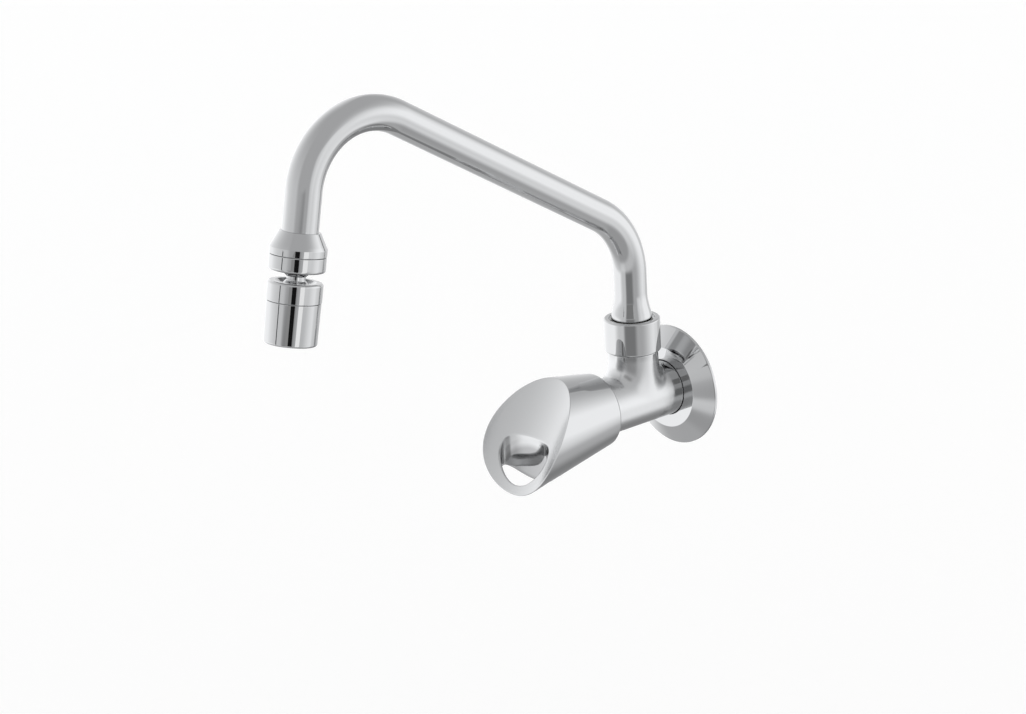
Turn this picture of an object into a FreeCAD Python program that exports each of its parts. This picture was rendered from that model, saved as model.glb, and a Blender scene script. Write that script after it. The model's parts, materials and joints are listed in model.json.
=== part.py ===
"""A wall tap for one water line: a short barrel on a conical wall flange, a bent swinging
spout with a swivelling aerator, and a slanted quarter-turn knob with a finger hole.

Frame: the wall is the plane y = 0, the tap comes out towards -Y, +Z is up, and the origin
is where the barrel's axis meets the wall. "Reach" is a distance from the wall along -Y.
"""
import FreeCAD, Part
import math
import os

# ---------------------------------------------------------------- driving dimensions, mm
THREAD_PLAY = 0.05
TIGHT_GAP = 0.02

# wall side
FLANGE_DIAMETER = 60.0
FLANGE_LIP = 1.4
FLANGE_DEPTH = 7.1
FLANGE_FRONT_DIAMETER = 40.6
FLANGE_SHEET = 1.0
FLANGE_HOLE_PLAY = 0.25
FLANGE_RING_WIDTH = 2.4
FLANGE_RING_DEPTH = 2.2
SHANK_DIAMETER = 20.96
SHANK_LENGTH = 17.0
SHANK_CHAMFER = 1.0
INLET_DIAMETER = 14.0

# barrel and its upright branch
BARREL_DIAMETER = 27.3
BARREL_BACK = 3.0
BARREL_FRONT = 58.0
BRANCH_REACH = 26.85
BRANCH_DIAMETER = 24.4
BRANCH_TOP = 24.3
BRANCH_BLEND = 5.0
BRANCH_BORE_DIAMETER = 16.1
SPIGOT_DIAMETER = 22.8
SPIGOT_TOP = 34.3
SPIGOT_CHAMFER = 1.0
SEAT_REACH = 17.0
CHAMBER_DIAMETER = 21.8
CHAMBER_FRONT = 42.0
BONNET_THREAD_DIAMETER = 20.0
BONNET_SEAL_POCKET = 1.6
BONNET_SEAL_THICKNESS = 1.5

# spout nut
NUT_DIAMETER = 27.3
NUT_TOP = 40.8
NUT_LIP_BOTTOM = 37.8
NUT_BAY_DEPTH = 0.3
NUT_RECESS_DEPTH = 1.5
NUT_RECESS_DIAMETER = 22.4
NUT_HOLE_DIAMETER = 20.6
SLIP_RING_INNER_DIAMETER = 19.8
SLIP_RING_OUTER_DIAMETER = 23.2
SLIP_RING_THICKNESS = 0.8

# spout: a tube that rises, slopes up and out, and turns down
TUBE_DIAMETER = 15.8
TUBE_WALL = 1.0
FLARE_BOTTOM = 39.6
FLARE_SHOULDER = 42.2
FLARE_SHOULDER_RADIUS = 13.0
FLARE_NECK = 49.6
FLARE_NECK_RADIUS = 30.0
FLARE_TOP = 58.5
FLARE_DIAMETER = 19.8
FLARE_EDGE_RADIUS = 0.45
RISER_TOP = 63.1
FIRST_BEND_RADIUS = 37.4
RUN_SLOPE = 30.3
RUN_LENGTH = 131.2
SECOND_BEND_RADIUS = 34.4
OUTLET_TILT = 11.9
OUTLET_STRAIGHT = 16.9
TUBE_SOCKET_DEPTH = 6.0

# spout tail inside the branch
TAIL_BOTTOM = 18.0
TAIL_DIAMETER = 15.96
TAIL_BORE_DIAMETER = 11.6
TAIL_COLLAR_DIAMETER = 22.6
TAIL_COLLAR_BOTTOM = 34.6
TAIL_COLLAR_TOP = 36.7
TAIL_NECK_DIAMETER = 19.0
TAIL_PLUG_GAP = 0.4
TAIL_SEAL_HEIGHTS = (22.4, 28.0)
SEAL_GROOVE_WIDTH = 2.0
TAIL_SEAL_THICKNESS = 1.4

# swivelling aerator, heights measured down its axis from the shoulder's upper edge
AERATOR_DIAMETER = 24.6
SHOULDER_DIAMETER = 17.8
SHOULDER_HEIGHT = 6.9
SHOULDER_ARCH_HEIGHT = 5.7
SHOULDER_ARCH_RADIUS = 12.0
ADAPTER_HEIGHT = 10.0
ADAPTER_THREAD_DIAMETER = 20.4
ADAPTER_BORE_DIAMETER = 18.2
ADAPTER_WATER_WAY_DIAMETER = 12.0
ADAPTER_SHELF = 8.0
ADAPTER_WASHER_FRONT = 8.7
COLLAR_TOP = 10.15
COLLAR_BOTTOM = 16.8
COLLAR_BOTTOM_RADIUS = 1.3
COLLAR_THREAD_DEPTH = 13.3
BALL_DEPTH = 13.2
BALL_RADIUS = 7.2
BALL_CLEARANCE = 0.1
BALL_SEAT_BACK = 8.75
BALL_SEAT_FRONT = 12.8
BALL_SEAT_BORE_DIAMETER = 9.2
NECK_DIAMETER = 8.4
WATER_WAY_DIAMETER = 5.6
STEM_CONE_RADIUS = 5.4
STEM_CONE_TOP = 22.0
STEM_SHELF = 22.6
STEM_THREAD_DIAMETER = 8.8
STEM_END = 26.8
HEAD_TOP = 21.2
HEAD_DIAMETER = 23.8
HEAD_EDGE_RADIUS = 1.1
HEAD_SEAM = 29.8
HEAD_ROOF = 26.0
HEAD_DISH_DEPTH = 1.45
HEAD_DISH_RADIUS = 8.8
HEAD_DISH_FLOOR_RADIUS = 7.2
HEAD_THREAD_DIAMETER = 20.6
HEAD_THREAD_LENGTH = 5.2
HEAD_BORE_RADIUS = 9.2
SLEEVE_TOP_DIAMETER = 23.5
SLEEVE_BOTTOM_DIAMETER = 23.0
SLEEVE_GAP = 0.15
SLEEVE_BOTTOM = 48.3
SLEEVE_LIP = 1.3
MOUTH_DIAMETER = 18.6
SLEEVE_WASHER_BACK = 35.05
SLEEVE_WASHER_FRONT = 37.0
SLEEVE_WASHER_BORE_DIAMETER = 16.4
REGULATOR_BACK = 37.05
REGULATOR_DEPTH = 2.4
REGULATOR_HOLES = 10
REGULATOR_HOLE_DIAMETER = 1.8
REGULATOR_HOLE_CIRCLE_RADIUS = 5.6
INSERT_BACK = 39.5
INSERT_RADIUS = 9.9
INSERT_BORE_RADIUS = 7.8
INSERT_MOUTH_RADIUS = 8.9
INSERT_MOUTH_DEPTH = 3.2
INSERT_SLOTS = 12
SCREEN_RIM_INNER_RADIUS = 8.1
SCREEN_RIM_OUTER_RADIUS = 8.85
SCREEN_DEPTH = 0.9
SCREEN_RIM_DEPTH = 1.5
SCREEN_BAR_PITCH = 1.8
SCREEN_BAR_WIDTH = 0.45
SCREEN_BARS_EACH_SIDE = 4

# knob
KNOB_BACK = 51.65
KNOB_BACK_RADIUS = 17.95
KNOB_BACK_ROUNDING = 1.8
KNOB_FLARE = 0.171
KNOB_FRONT = 112.0
KNOB_WALL = 2.4
KNOB_FACE_REACH = 90.1
KNOB_FACE_TILT = 32.8
KNOB_SCOOP_RADIUS = 54.0
FINGER_HOLE_REACH = 98.3
FINGER_HOLE_HALF_WIDTH = 16.2
FINGER_HOLE_HALF_DEPTH = 6.1
FINGER_HOLE_ROUNDING = 1.0
HUB_RADIUS = 9.6
HUB_BACK = 70.6
HUB_BORE_FRONT = 82.0
HUB_BORE_HALF_WIDTH = 7.05
GRUB_SCREW_REACH = 76.0
GRUB_SCREW_TIP = 4.6
GRUB_SCREW_LENGTH = 8.0
GRUB_SCREW_RADIUS = 2.5
GRUB_SCREW_BOSS_RADIUS = 4.6

# cartridge, reaches from the wall
DISC_THICKNESS = 3.0
DISC_RADIUS = 7.9
DISC_WINDOW_OUTER_RADIUS = 6.6
DISC_WINDOW_INNER_RADIUS = 2.2
DISC_WINDOW_HALF_ANGLE = 38.0
FIXED_DISC_BACK = 19.9
MOVING_DISC_BACK = 23.0
SLEEVE_PLAY = 0.3
CARTRIDGE_SLEEVE_WALL = 1.0
DRIVER_BACK = 26.2
DRIVER_FRONT = 31.4
DRIVER_LUG_DEPTH = 1.4
DRIVER_LUG_WIDTH = 3.2
DRIVER_LUG_LENGTH = 3.0
DRIVER_LUG_CENTRE = 5.4
DRIVER_SLOT_WIDTH = 4.6
SPINDLE_RADIUS = 4.94
SPINDLE_BORE_RADIUS = 5.0
SPINDLE_SHOULDER = 34.0
SPINDLE_SEAL_REACHES = (40.0, 45.0)
SPINDLE_SEAL_GROOVE_DEPTH = 1.34
SPINDLE_SEAL_THICKNESS = 1.3
SPINDLE_SEAL_MIDDLE_RADIUS = 4.25
BONNET_FLANGE_RADIUS = 12.6
BONNET_FLANGE_FRONT = 60.5
BONNET_HEX_FRONT = 66.5
BONNET_FRONT = 69.0
BONNET_NECK_RADIUS = 6.5
BONNET_WINDOW_WIDTH = 9.5
HEX_ACROSS_FLATS = 17.0
HEX_CORNER_RADIUS = 11.0
CLIP_GROOVE_RADIUS = 4.0
CLIP_RADIUS = 6.3
CLIP_THICKNESS = 0.8
CLIP_OPENING = 3.0
SPLINE_COUNT = 20
SPLINE_RADIUS = 4.4
SPLINE_ROOT_RADIUS = 3.9
SPLINE_BACK = 70.8
SPLINE_FRONT = 81.0
BUSHING_HALF_WIDTH = 7.0

ORIGIN = FreeCAD.Vector(0, 0, 0)
X_AXIS = FreeCAD.Vector(1, 0, 0)
Z_AXIS = FreeCAD.Vector(0, 0, 1)


# ---------------------------------------------------------------- shapes from outlines
def rounded_corner(before, corner, after, radius):
    """Start, middle and end of the arc that rounds one corner of an outline."""
    to_before = (before - corner).normalize()
    to_after = (after - corner).normalize()
    half_angle = to_before.getAngle(to_after) / 2
    bisector = (to_before + to_after).normalize()
    centre = corner + bisector * (radius / math.sin(half_angle))
    reach = radius / math.tan(half_angle)
    return corner + to_before * reach, centre - bisector * radius, corner + to_after * reach


def outline(corners):
    """A closed wire through (radius, height) corners; a third value rounds a corner."""
    points = [FreeCAD.Vector(corner[0], 0, corner[1]) for corner in corners]
    edges = []
    starts = []
    ends = []
    for index, corner in enumerate(corners):
        point = points[index]
        if len(corner) == 2:
            starts.append(point)
            ends.append(point)
            continue
        after = points[(index + 1) % len(points)]
        start, middle, end = rounded_corner(points[index - 1], point, after, corner[2])
        edges.append(Part.Arc(start, middle, end).toShape())
        starts.append(start)
        ends.append(end)
    for index in range(len(corners)):
        if ends[index - 1].distanceToPoint(starts[index]) > 1e-6:
            edges.append(Part.makeLine(ends[index - 1], starts[index]))
    return Part.Wire(Part.__sortEdges__(edges))


def turned(corners):
    """The solid that an outline of (radius, height) corners sweeps round the Z axis."""
    return Part.Face(outline(corners)).revolve(ORIGIN, Z_AXIS, 360)


def rod(radius, bottom, top):
    return Part.makeCylinder(radius, top - bottom, FreeCAD.Vector(0, 0, bottom))


def ring(inner, outer, bottom, top):
    return rod(outer, bottom, top).cut(rod(inner, bottom, top))


def seal_ring(middle_radius, thickness, height):
    return Part.makeTorus(middle_radius, thickness / 2, FreeCAD.Vector(0, 0, height))


def prism(radius, sides, bottom, top):
    """A regular prism whose flats lie at the given radius."""
    corner_radius = radius / math.cos(math.pi / sides)
    points = []
    for index in range(sides + 1):
        angle = 2 * math.pi * (index + 0.5) / sides
        points.append(FreeCAD.Vector(corner_radius * math.cos(angle),
                                     corner_radius * math.sin(angle), bottom))
    return Part.Face(Part.makePolygon(points)).extrude(FreeCAD.Vector(0, 0, top - bottom))


def round_array(shape, count):
    return [shape.rotated(ORIGIN, Z_AXIS, 360.0 * index / count) for index in range(count)]


def block(size_x, size_y, bottom, top):
    corner = FreeCAD.Vector(-size_x / 2, -size_y / 2, bottom)
    return Part.makeBox(size_x, size_y, top - bottom, corner)


# ---------------------------------------------------------------- places of the three axes
def on_barrel(shape):
    """Heights become reaches from the wall; the local Y axis becomes +Z."""
    return shape.rotated(ORIGIN, X_AXIS, 90)


def on_branch(shape):
    return shape.translated(FreeCAD.Vector(0, -BRANCH_REACH, 0))


def on_outlet(shape):
    """Heights become depths down the outlet's axis, from the shoulder's upper edge."""
    seam = spout_route()[-1]
    turned_over = shape.rotated(ORIGIN, X_AXIS, 180 - OUTLET_TILT)
    return turned_over.translated(route_point(seam))


# ---------------------------------------------------------------- the spout's route
def route_point(place):
    """A (distance out from the riser, height) place in the upright middle plane."""
    return FreeCAD.Vector(0, -BRANCH_REACH - place[0], place[1])


def ahead(place, heading, length):
    angle = math.radians(heading)
    return (place[0] + length * math.cos(angle), place[1] + length * math.sin(angle))


def bend_place(centre, radius, heading):
    """Where a downward bend's centre line has the given heading."""
    return ahead(centre, heading + 90, radius)


def spout_route():
    """Joints of the route: riser top, first bend, run, second bend, outlet."""
    riser_top = (0.0, RISER_TOP)
    first_centre = ahead(riser_top, 0, FIRST_BEND_RADIUS)
    first_end = bend_place(first_centre, FIRST_BEND_RADIUS, RUN_SLOPE)
    run_end = ahead(first_end, RUN_SLOPE, RUN_LENGTH)
    second_centre = ahead(run_end, RUN_SLOPE - 90, SECOND_BEND_RADIUS)
    second_end = bend_place(second_centre, SECOND_BEND_RADIUS, OUTLET_TILT - 90)
    seam = ahead(second_end, OUTLET_TILT - 90, OUTLET_STRAIGHT)
    return riser_top, first_centre, first_end, run_end, second_centre, second_end, seam


def tube_section(place, heading):
    """The tube's cut face at a place on the route."""
    centre = route_point(place)
    direction = route_point(ahead(place, heading, 1.0)) - centre
    outer, inner = (Part.Face(Part.Wire([Part.makeCircle(radius, centre, direction)]))
                    for radius in (TUBE_DIAMETER / 2, TUBE_DIAMETER / 2 - TUBE_WALL))
    return outer.cut(inner).Faces[0]


def straight_tube(place, heading, length):
    step = route_point(ahead(place, heading, length)) - route_point(place)
    return tube_section(place, heading).extrude(step)


def bent_tube(place, centre, heading_in, heading_out):
    section = tube_section(place, heading_in)
    return section.revolve(route_point(centre), X_AXIS, heading_in - heading_out)


# ---------------------------------------------------------------- fixed pieces
def valve_body():
    """Cast barrel with its inlet shank and the upright branch that carries the spout."""
    outside = barrel_and_branch().fuse(inlet_shank()).fuse(spout_spigot())
    bonnet_radius = BONNET_THREAD_DIAMETER / 2 + THREAD_PLAY
    pocket_radius = bonnet_radius + BONNET_SEAL_POCKET
    pocket_back = BARREL_FRONT - BONNET_SEAL_POCKET
    water_way = turned([
        (0, -SHANK_LENGTH), (INLET_DIAMETER / 2, -SHANK_LENGTH),
        (INLET_DIAMETER / 2, SEAT_REACH), (CHAMBER_DIAMETER / 2, SEAT_REACH),
        (CHAMBER_DIAMETER / 2, CHAMBER_FRONT), (bonnet_radius, CHAMBER_FRONT),
        (bonnet_radius, pocket_back), (pocket_radius, pocket_back),
        (pocket_radius, BARREL_FRONT), (0, BARREL_FRONT)])
    branch_bore = on_branch(rod(BRANCH_BORE_DIAMETER / 2, 0, SPIGOT_TOP))
    return outside.cut(on_barrel(water_way)).cut(branch_bore).removeSplitter()


def barrel_and_branch():
    """The two solid cylinders with the rounded corner between them."""
    barrel = on_barrel(rod(BARREL_DIAMETER / 2, BARREL_BACK, BARREL_FRONT))
    branch = on_branch(rod(BRANCH_DIAMETER / 2, 0, BRANCH_TOP))
    joined = barrel.fuse(branch).removeSplitter()
    return joined.makeFillet(BRANCH_BLEND, [edge for edge in joined.Edges if is_branch_root(edge)])


def is_branch_root(edge):
    """True on the curve where the branch leaves the barrel, at the barrel's own radius."""
    if len(edge.Vertexes) == 0:
        return False
    middle = edge.valueAt((edge.FirstParameter + edge.LastParameter) / 2)
    from_barrel_axis = math.hypot(middle.x, middle.z)
    from_branch_axis = math.hypot(middle.x, middle.y + BRANCH_REACH)
    on_barrel_wall = abs(from_barrel_axis - BARREL_DIAMETER / 2) < 0.01
    on_branch_wall = abs(from_branch_axis - BRANCH_DIAMETER / 2) < 0.01
    return on_barrel_wall and on_branch_wall


def inlet_shank():
    radius = SHANK_DIAMETER / 2
    return on_barrel(turned([
        (0, -SHANK_LENGTH), (radius - SHANK_CHAMFER, -SHANK_LENGTH),
        (radius, SHANK_CHAMFER - SHANK_LENGTH), (radius, BARREL_BACK), (0, BARREL_BACK)]))


def spout_spigot():
    radius = SPIGOT_DIAMETER / 2
    return on_branch(turned([
        (0, BRANCH_TOP), (radius, BRANCH_TOP), (radius, SPIGOT_TOP - SPIGOT_CHAMFER),
        (radius - SPIGOT_CHAMFER, SPIGOT_TOP), (0, SPIGOT_TOP)]))


def wall_flange():
    """Pressed sheet cone with a flat front, loose on the barrel and open at the back."""
    rim = FLANGE_DIAMETER / 2
    front = FLANGE_FRONT_DIAMETER / 2
    hole = BARREL_DIAMETER / 2 + FLANGE_HOLE_PLAY
    return on_barrel(turned([
        (rim - FLANGE_SHEET, 0), (rim, 0, 0.2), (rim, FLANGE_LIP, 0.5),
        (front, FLANGE_DEPTH, 0.4), (hole, FLANGE_DEPTH, 0.4),
        (hole, FLANGE_DEPTH - FLANGE_SHEET), (front - 0.5, FLANGE_DEPTH - FLANGE_SHEET),
        (rim - FLANGE_SHEET, FLANGE_LIP - 0.4)]))


def flange_ring():
    """Rubber ring behind the flange's front, which grips the barrel."""
    inner = BARREL_DIAMETER / 2 + TIGHT_GAP
    outer = inner + FLANGE_RING_WIDTH
    front = FLANGE_DEPTH - FLANGE_SHEET - TIGHT_GAP
    back = front - FLANGE_RING_DEPTH
    return on_barrel(turned([(inner, back, 0.5), (outer, back, 0.8), (outer, front),
                             (inner, front)]))


def spout_nut():
    """Plain round nut: thread below, a lip that holds the spout down, a recess on top."""
    radius = NUT_DIAMETER / 2
    bottom = BRANCH_TOP + THREAD_PLAY
    thread = SPIGOT_DIAMETER / 2 + THREAD_PLAY
    bay = thread + NUT_BAY_DEPTH
    recess = NUT_RECESS_DIAMETER / 2
    hole = NUT_HOLE_DIAMETER / 2
    floor = NUT_TOP - NUT_RECESS_DEPTH
    return on_branch(turned([
        (thread, bottom), (radius, bottom, 0.7), (radius, NUT_TOP, 0.8), (recess, NUT_TOP, 0.3),
        (recess, floor, 0.3), (hole, floor), (hole, NUT_LIP_BOTTOM), (bay, NUT_LIP_BOTTOM),
        (bay, SPIGOT_TOP), (thread, SPIGOT_TOP)]))


def slip_ring():
    """Low-friction ring under the nut's lip, which the spout's collar turns against."""
    return on_branch(ring(SLIP_RING_INNER_DIAMETER / 2, SLIP_RING_OUTER_DIAMETER / 2,
                          NUT_LIP_BOTTOM - SLIP_RING_THICKNESS, NUT_LIP_BOTTOM))


def cartridge_bonnet():
    """Threaded neck of the cartridge, with a windowed sleeve for the discs behind it."""
    thread = BONNET_THREAD_DIAMETER / 2
    sleeve_back = SEAT_REACH + 0.6
    sleeve_inner = DISC_RADIUS + SLEEVE_PLAY
    sleeve_outer = sleeve_inner + CARTRIDGE_SLEEVE_WALL
    shell = turned([
        (sleeve_inner, sleeve_back), (sleeve_outer, sleeve_back), (sleeve_outer, CHAMBER_FRONT),
        (thread, CHAMBER_FRONT), (thread, BARREL_FRONT), (BONNET_FLANGE_RADIUS, BARREL_FRONT),
        (BONNET_FLANGE_RADIUS, BONNET_FLANGE_FRONT, 0.6),
        (BONNET_NECK_RADIUS, BONNET_FLANGE_FRONT), (BONNET_NECK_RADIUS, BONNET_FRONT, 0.5),
        (SPINDLE_BORE_RADIUS, BONNET_FRONT), (SPINDLE_BORE_RADIUS, SPINDLE_SHOULDER),
        (sleeve_inner, SPINDLE_SHOULDER)])
    wrench_hex = prism(HEX_ACROSS_FLATS / 2, 6, BONNET_FLANGE_FRONT, BONNET_HEX_FRONT)
    chamfer = turned([
        (0, BONNET_FLANGE_FRONT), (HEX_CORNER_RADIUS, BONNET_FLANGE_FRONT),
        (HEX_CORNER_RADIUS, BONNET_HEX_FRONT - 1.2), (HEX_ACROSS_FLATS / 2, BONNET_HEX_FRONT),
        (0, BONNET_HEX_FRONT)])
    bore = rod(SPINDLE_BORE_RADIUS, BONNET_FLANGE_FRONT, BONNET_HEX_FRONT)
    windows = block(BONNET_WINDOW_WIDTH, 4 * sleeve_outer, MOVING_DISC_BACK + 0.2,
                    SPINDLE_SHOULDER - 3)
    return on_barrel(shell.fuse(wrench_hex.common(chamfer).cut(bore)).cut(windows)
                     .removeSplitter())


def bonnet_o_ring():
    middle = (BONNET_THREAD_DIAMETER + BONNET_SEAL_POCKET) / 2
    return on_barrel(seal_ring(middle, BONNET_SEAL_THICKNESS,
                               BARREL_FRONT - BONNET_SEAL_THICKNESS / 2 - 0.03))


def seat_gasket():
    """Rubber ring between the body's seat and the fixed disc."""
    inner = INLET_DIAMETER / 2 - 0.1
    outer = DISC_RADIUS + 0.2
    return on_barrel(ring(inner, outer, SEAT_REACH, FIXED_DISC_BACK))


def disc(radius, back):
    """A ceramic disc with two windows."""
    front = back + DISC_THICKNESS
    window = Part.makeCylinder(DISC_WINDOW_OUTER_RADIUS, DISC_THICKNESS,
                               FreeCAD.Vector(0, 0, back), Z_AXIS, 2 * DISC_WINDOW_HALF_ANGLE)
    window = window.rotated(ORIGIN, Z_AXIS, -DISC_WINDOW_HALF_ANGLE)
    window = window.cut(rod(DISC_WINDOW_INNER_RADIUS, back, front))
    plate = rod(radius, back, front)
    for cutter in round_array(window, 2):
        plate = plate.cut(cutter)
    return plate


def driver_lugs(back, front, play):
    """Two blocks across the Y axis, which turn the moving disc."""
    lug = block(DRIVER_LUG_WIDTH + 2 * play, DRIVER_LUG_LENGTH + 2 * play, back, front)
    lug = lug.translated(FreeCAD.Vector(0, DRIVER_LUG_CENTRE, 0))
    return Part.makeCompound(round_array(lug, 2))


def fixed_disc():
    return on_barrel(disc(DISC_RADIUS + 0.25, FIXED_DISC_BACK))


# ---------------------------------------------------------------- pieces that turn with the knob
def moving_disc():
    front = MOVING_DISC_BACK + DISC_THICKNESS
    pockets = driver_lugs(front - DRIVER_LUG_DEPTH, front, 0.1)
    return on_barrel(disc(DISC_RADIUS, MOVING_DISC_BACK).cut(pockets))


def spline_prism(tip, root, back, front):
    """A star-shaped prism with one trapezoid tooth per spline."""
    points = []
    pitch = 2 * math.pi / SPLINE_COUNT
    for tooth in range(SPLINE_COUNT):
        for radius, share in ((root, -0.34), (tip, -0.14), (tip, 0.14), (root, 0.34)):
            angle = (tooth + share) * pitch
            points.append(FreeCAD.Vector(radius * math.cos(angle), radius * math.sin(angle),
                                         back))
    points.append(points[0])
    return Part.Face(Part.makePolygon(points)).extrude(FreeCAD.Vector(0, 0, front - back))


def spindle():
    """Turned spindle: driver plate with two lugs, seal grooves, clip groove, splines."""
    body = turned([
        (0, DRIVER_BACK), (DISC_RADIUS, DRIVER_BACK), (DISC_RADIUS, DRIVER_FRONT),
        (SPINDLE_RADIUS, DRIVER_FRONT), (SPINDLE_RADIUS, SPLINE_BACK),
        (SPLINE_ROOT_RADIUS, SPLINE_BACK), (SPLINE_ROOT_RADIUS, SPLINE_BACK + 1),
        (0, SPLINE_BACK + 1)])
    groove_radius = SPINDLE_RADIUS - SPINDLE_SEAL_GROOVE_DEPTH
    for reach in SPINDLE_SEAL_REACHES:
        half = SEAL_GROOVE_WIDTH / 2
        body = body.cut(ring(groove_radius, SPINDLE_RADIUS + 1, reach - half, reach + half))
    clip_back = BONNET_FRONT + 0.2
    clip_front = clip_back + CLIP_THICKNESS + 0.2
    body = body.cut(ring(CLIP_GROOVE_RADIUS, SPINDLE_RADIUS + 1, clip_back, clip_front))
    slots = block(4 * DISC_RADIUS, DRIVER_SLOT_WIDTH, DRIVER_BACK, DRIVER_FRONT)
    body = body.cut(slots.cut(rod(SPINDLE_RADIUS, DRIVER_BACK, DRIVER_FRONT)))
    splines = spline_prism(SPLINE_RADIUS, SPLINE_ROOT_RADIUS, SPLINE_BACK, SPLINE_FRONT)
    chamfer = turned([(0, SPLINE_BACK), (SPINDLE_RADIUS, SPLINE_BACK),
                      (SPINDLE_RADIUS, SPLINE_FRONT - 1.2),
                      (SPLINE_ROOT_RADIUS - 0.2, SPLINE_FRONT), (0, SPLINE_FRONT)])
    lugs = driver_lugs(DRIVER_BACK - DRIVER_LUG_DEPTH + 0.1, DRIVER_BACK, 0.0)
    return on_barrel(body.fuse(splines.common(chamfer)).fuse(lugs).removeSplitter())


def spindle_o_rings():
    return on_barrel(Part.makeCompound([
        seal_ring(SPINDLE_SEAL_MIDDLE_RADIUS, SPINDLE_SEAL_THICKNESS, reach)
        for reach in SPINDLE_SEAL_REACHES]))


def thrust_washer():
    return on_barrel(ring(SPINDLE_RADIUS + 0.1, DISC_RADIUS, DRIVER_FRONT + 0.3,
                          SPINDLE_SHOULDER - 0.3))


def spindle_clip():
    """Open snap ring in front of the bonnet, which keeps the spindle in."""
    back = BONNET_FRONT + 0.3
    front = back + CLIP_THICKNESS
    opening = block(CLIP_OPENING, 2 * CLIP_RADIUS, back, front)
    opening = opening.translated(FreeCAD.Vector(0, CLIP_RADIUS, 0))
    return on_barrel(ring(CLIP_GROOVE_RADIUS + 0.05, CLIP_RADIUS, back, front).cut(opening))


def handle_bushing():
    """Eight-sided insert that fits the splines inside and the knob's hub outside."""
    body = prism(BUSHING_HALF_WIDTH, 8, HUB_BACK + 0.2, HUB_BORE_FRONT - 0.1)
    bore = spline_prism(SPLINE_RADIUS + THREAD_PLAY, SPLINE_ROOT_RADIUS + THREAD_PLAY, HUB_BACK,
                        HUB_BORE_FRONT)
    return on_barrel(body.cut(bore)).cut(grub_screw_space(GRUB_SCREW_RADIUS + THREAD_PLAY))


def grub_screw_space(radius):
    """A round way along the grub screw's axis, from the splines down out of the skirt."""
    start = FreeCAD.Vector(0, -GRUB_SCREW_REACH, 0.1 - GRUB_SCREW_TIP)
    return Part.makeCylinder(radius, KNOB_BACK_RADIUS * 1.5, start, -Z_AXIS)


def handle_screw():
    """Grub screw with a hexagon socket, tight against the splines."""
    radius = GRUB_SCREW_RADIUS
    length = GRUB_SCREW_LENGTH
    screw = turned([(0, 0), (radius - 0.8, 0), (radius, 0.8), (radius, length, 0.3),
                    (0, length)])
    socket = prism(radius / 2, 6, length - 3, length)
    screw = screw.cut(socket).rotated(ORIGIN, X_AXIS, 180)
    return screw.translated(FreeCAD.Vector(0, -GRUB_SCREW_REACH, -GRUB_SCREW_TIP))


def scoop(setback):
    """The round channel that hollows the knob's face, its axis parallel to the face."""
    tilt = math.radians(KNOB_FACE_TILT)
    along = FreeCAD.Vector(0, math.sin(tilt), math.cos(tilt))
    outward = FreeCAD.Vector(0, -math.cos(tilt), math.sin(tilt))
    on_face = FreeCAD.Vector(0, -KNOB_FACE_REACH, 0) - outward * setback
    half_length = KNOB_FACE_REACH
    start = on_face + outward * KNOB_SCOOP_RADIUS - along * half_length
    return Part.makeCylinder(KNOB_SCOOP_RADIUS, 2 * half_length, start, along)


def knob_radius(reach):
    return KNOB_BACK_RADIUS + KNOB_FLARE * (reach - KNOB_BACK)


def finger_hole():
    """An oval way straight down through the knob's tip."""
    half_length = 2 * KNOB_BACK_RADIUS
    centre = FreeCAD.Vector(0, -FINGER_HOLE_REACH, -half_length)
    oval = Part.Ellipse(centre + X_AXIS * FINGER_HOLE_HALF_WIDTH,
                        centre + FreeCAD.Vector(0, FINGER_HOLE_HALF_DEPTH, 0), centre)
    return Part.Face(Part.Wire([oval.toShape()])).extrude(Z_AXIS * (2 * half_length))


def knob_cavity():
    """The hollow behind the face, open towards the wall."""
    back = KNOB_BACK - 1
    front = FINGER_HOLE_REACH - FINGER_HOLE_HALF_DEPTH - KNOB_WALL
    hollow = turned([(0, back), (knob_radius(KNOB_BACK) - KNOB_WALL, back),
                     (knob_radius(front) - KNOB_WALL, front), (0, front)])
    hollow = on_barrel(hollow).cut(scoop(KNOB_WALL + 1))
    hub = on_barrel(rod(HUB_RADIUS, HUB_BACK, KNOB_FRONT))
    screw_boss = Part.makeCylinder(GRUB_SCREW_BOSS_RADIUS, 2 * KNOB_BACK_RADIUS,
                                   FreeCAD.Vector(0, -GRUB_SCREW_REACH, 0), -Z_AXIS)
    return hollow.cut(hub).cut(screw_boss)


def handle_knob():
    """Hollow cone cut by the scooped face, with the finger hole and the splined hub."""
    solid = on_barrel(turned([
        (0, KNOB_BACK), (knob_radius(KNOB_BACK), KNOB_BACK, KNOB_BACK_ROUNDING),
        (knob_radius(KNOB_FRONT), KNOB_FRONT), (0, KNOB_FRONT)]))
    solid = solid.cut(scoop(0)).cut(finger_hole())
    rim = [edge for edge in solid.Edges if is_finger_rim(edge)]
    solid = solid.makeFillet(FINGER_HOLE_ROUNDING, rim)
    hub_bore = on_barrel(prism(HUB_BORE_HALF_WIDTH, 8, HUB_BACK, HUB_BORE_FRONT))
    screw_hole = grub_screw_space(GRUB_SCREW_RADIUS + 0.1)
    return solid.cut(knob_cavity()).cut(hub_bore).cut(screw_hole)


def is_finger_rim(edge):
    """True on the edge between the scooped face and the finger hole."""
    middle = edge.valueAt((edge.FirstParameter + edge.LastParameter) / 2)
    across = middle.x / FINGER_HOLE_HALF_WIDTH
    depth = (-middle.y - FINGER_HOLE_REACH) / FINGER_HOLE_HALF_DEPTH
    on_hole = abs(math.hypot(across, depth) - 1) < 0.01
    below_face = math.hypot(middle.x, middle.z) < knob_radius(-middle.y) - 0.5
    return on_hole and below_face and len(edge.Vertexes) > 0


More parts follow.
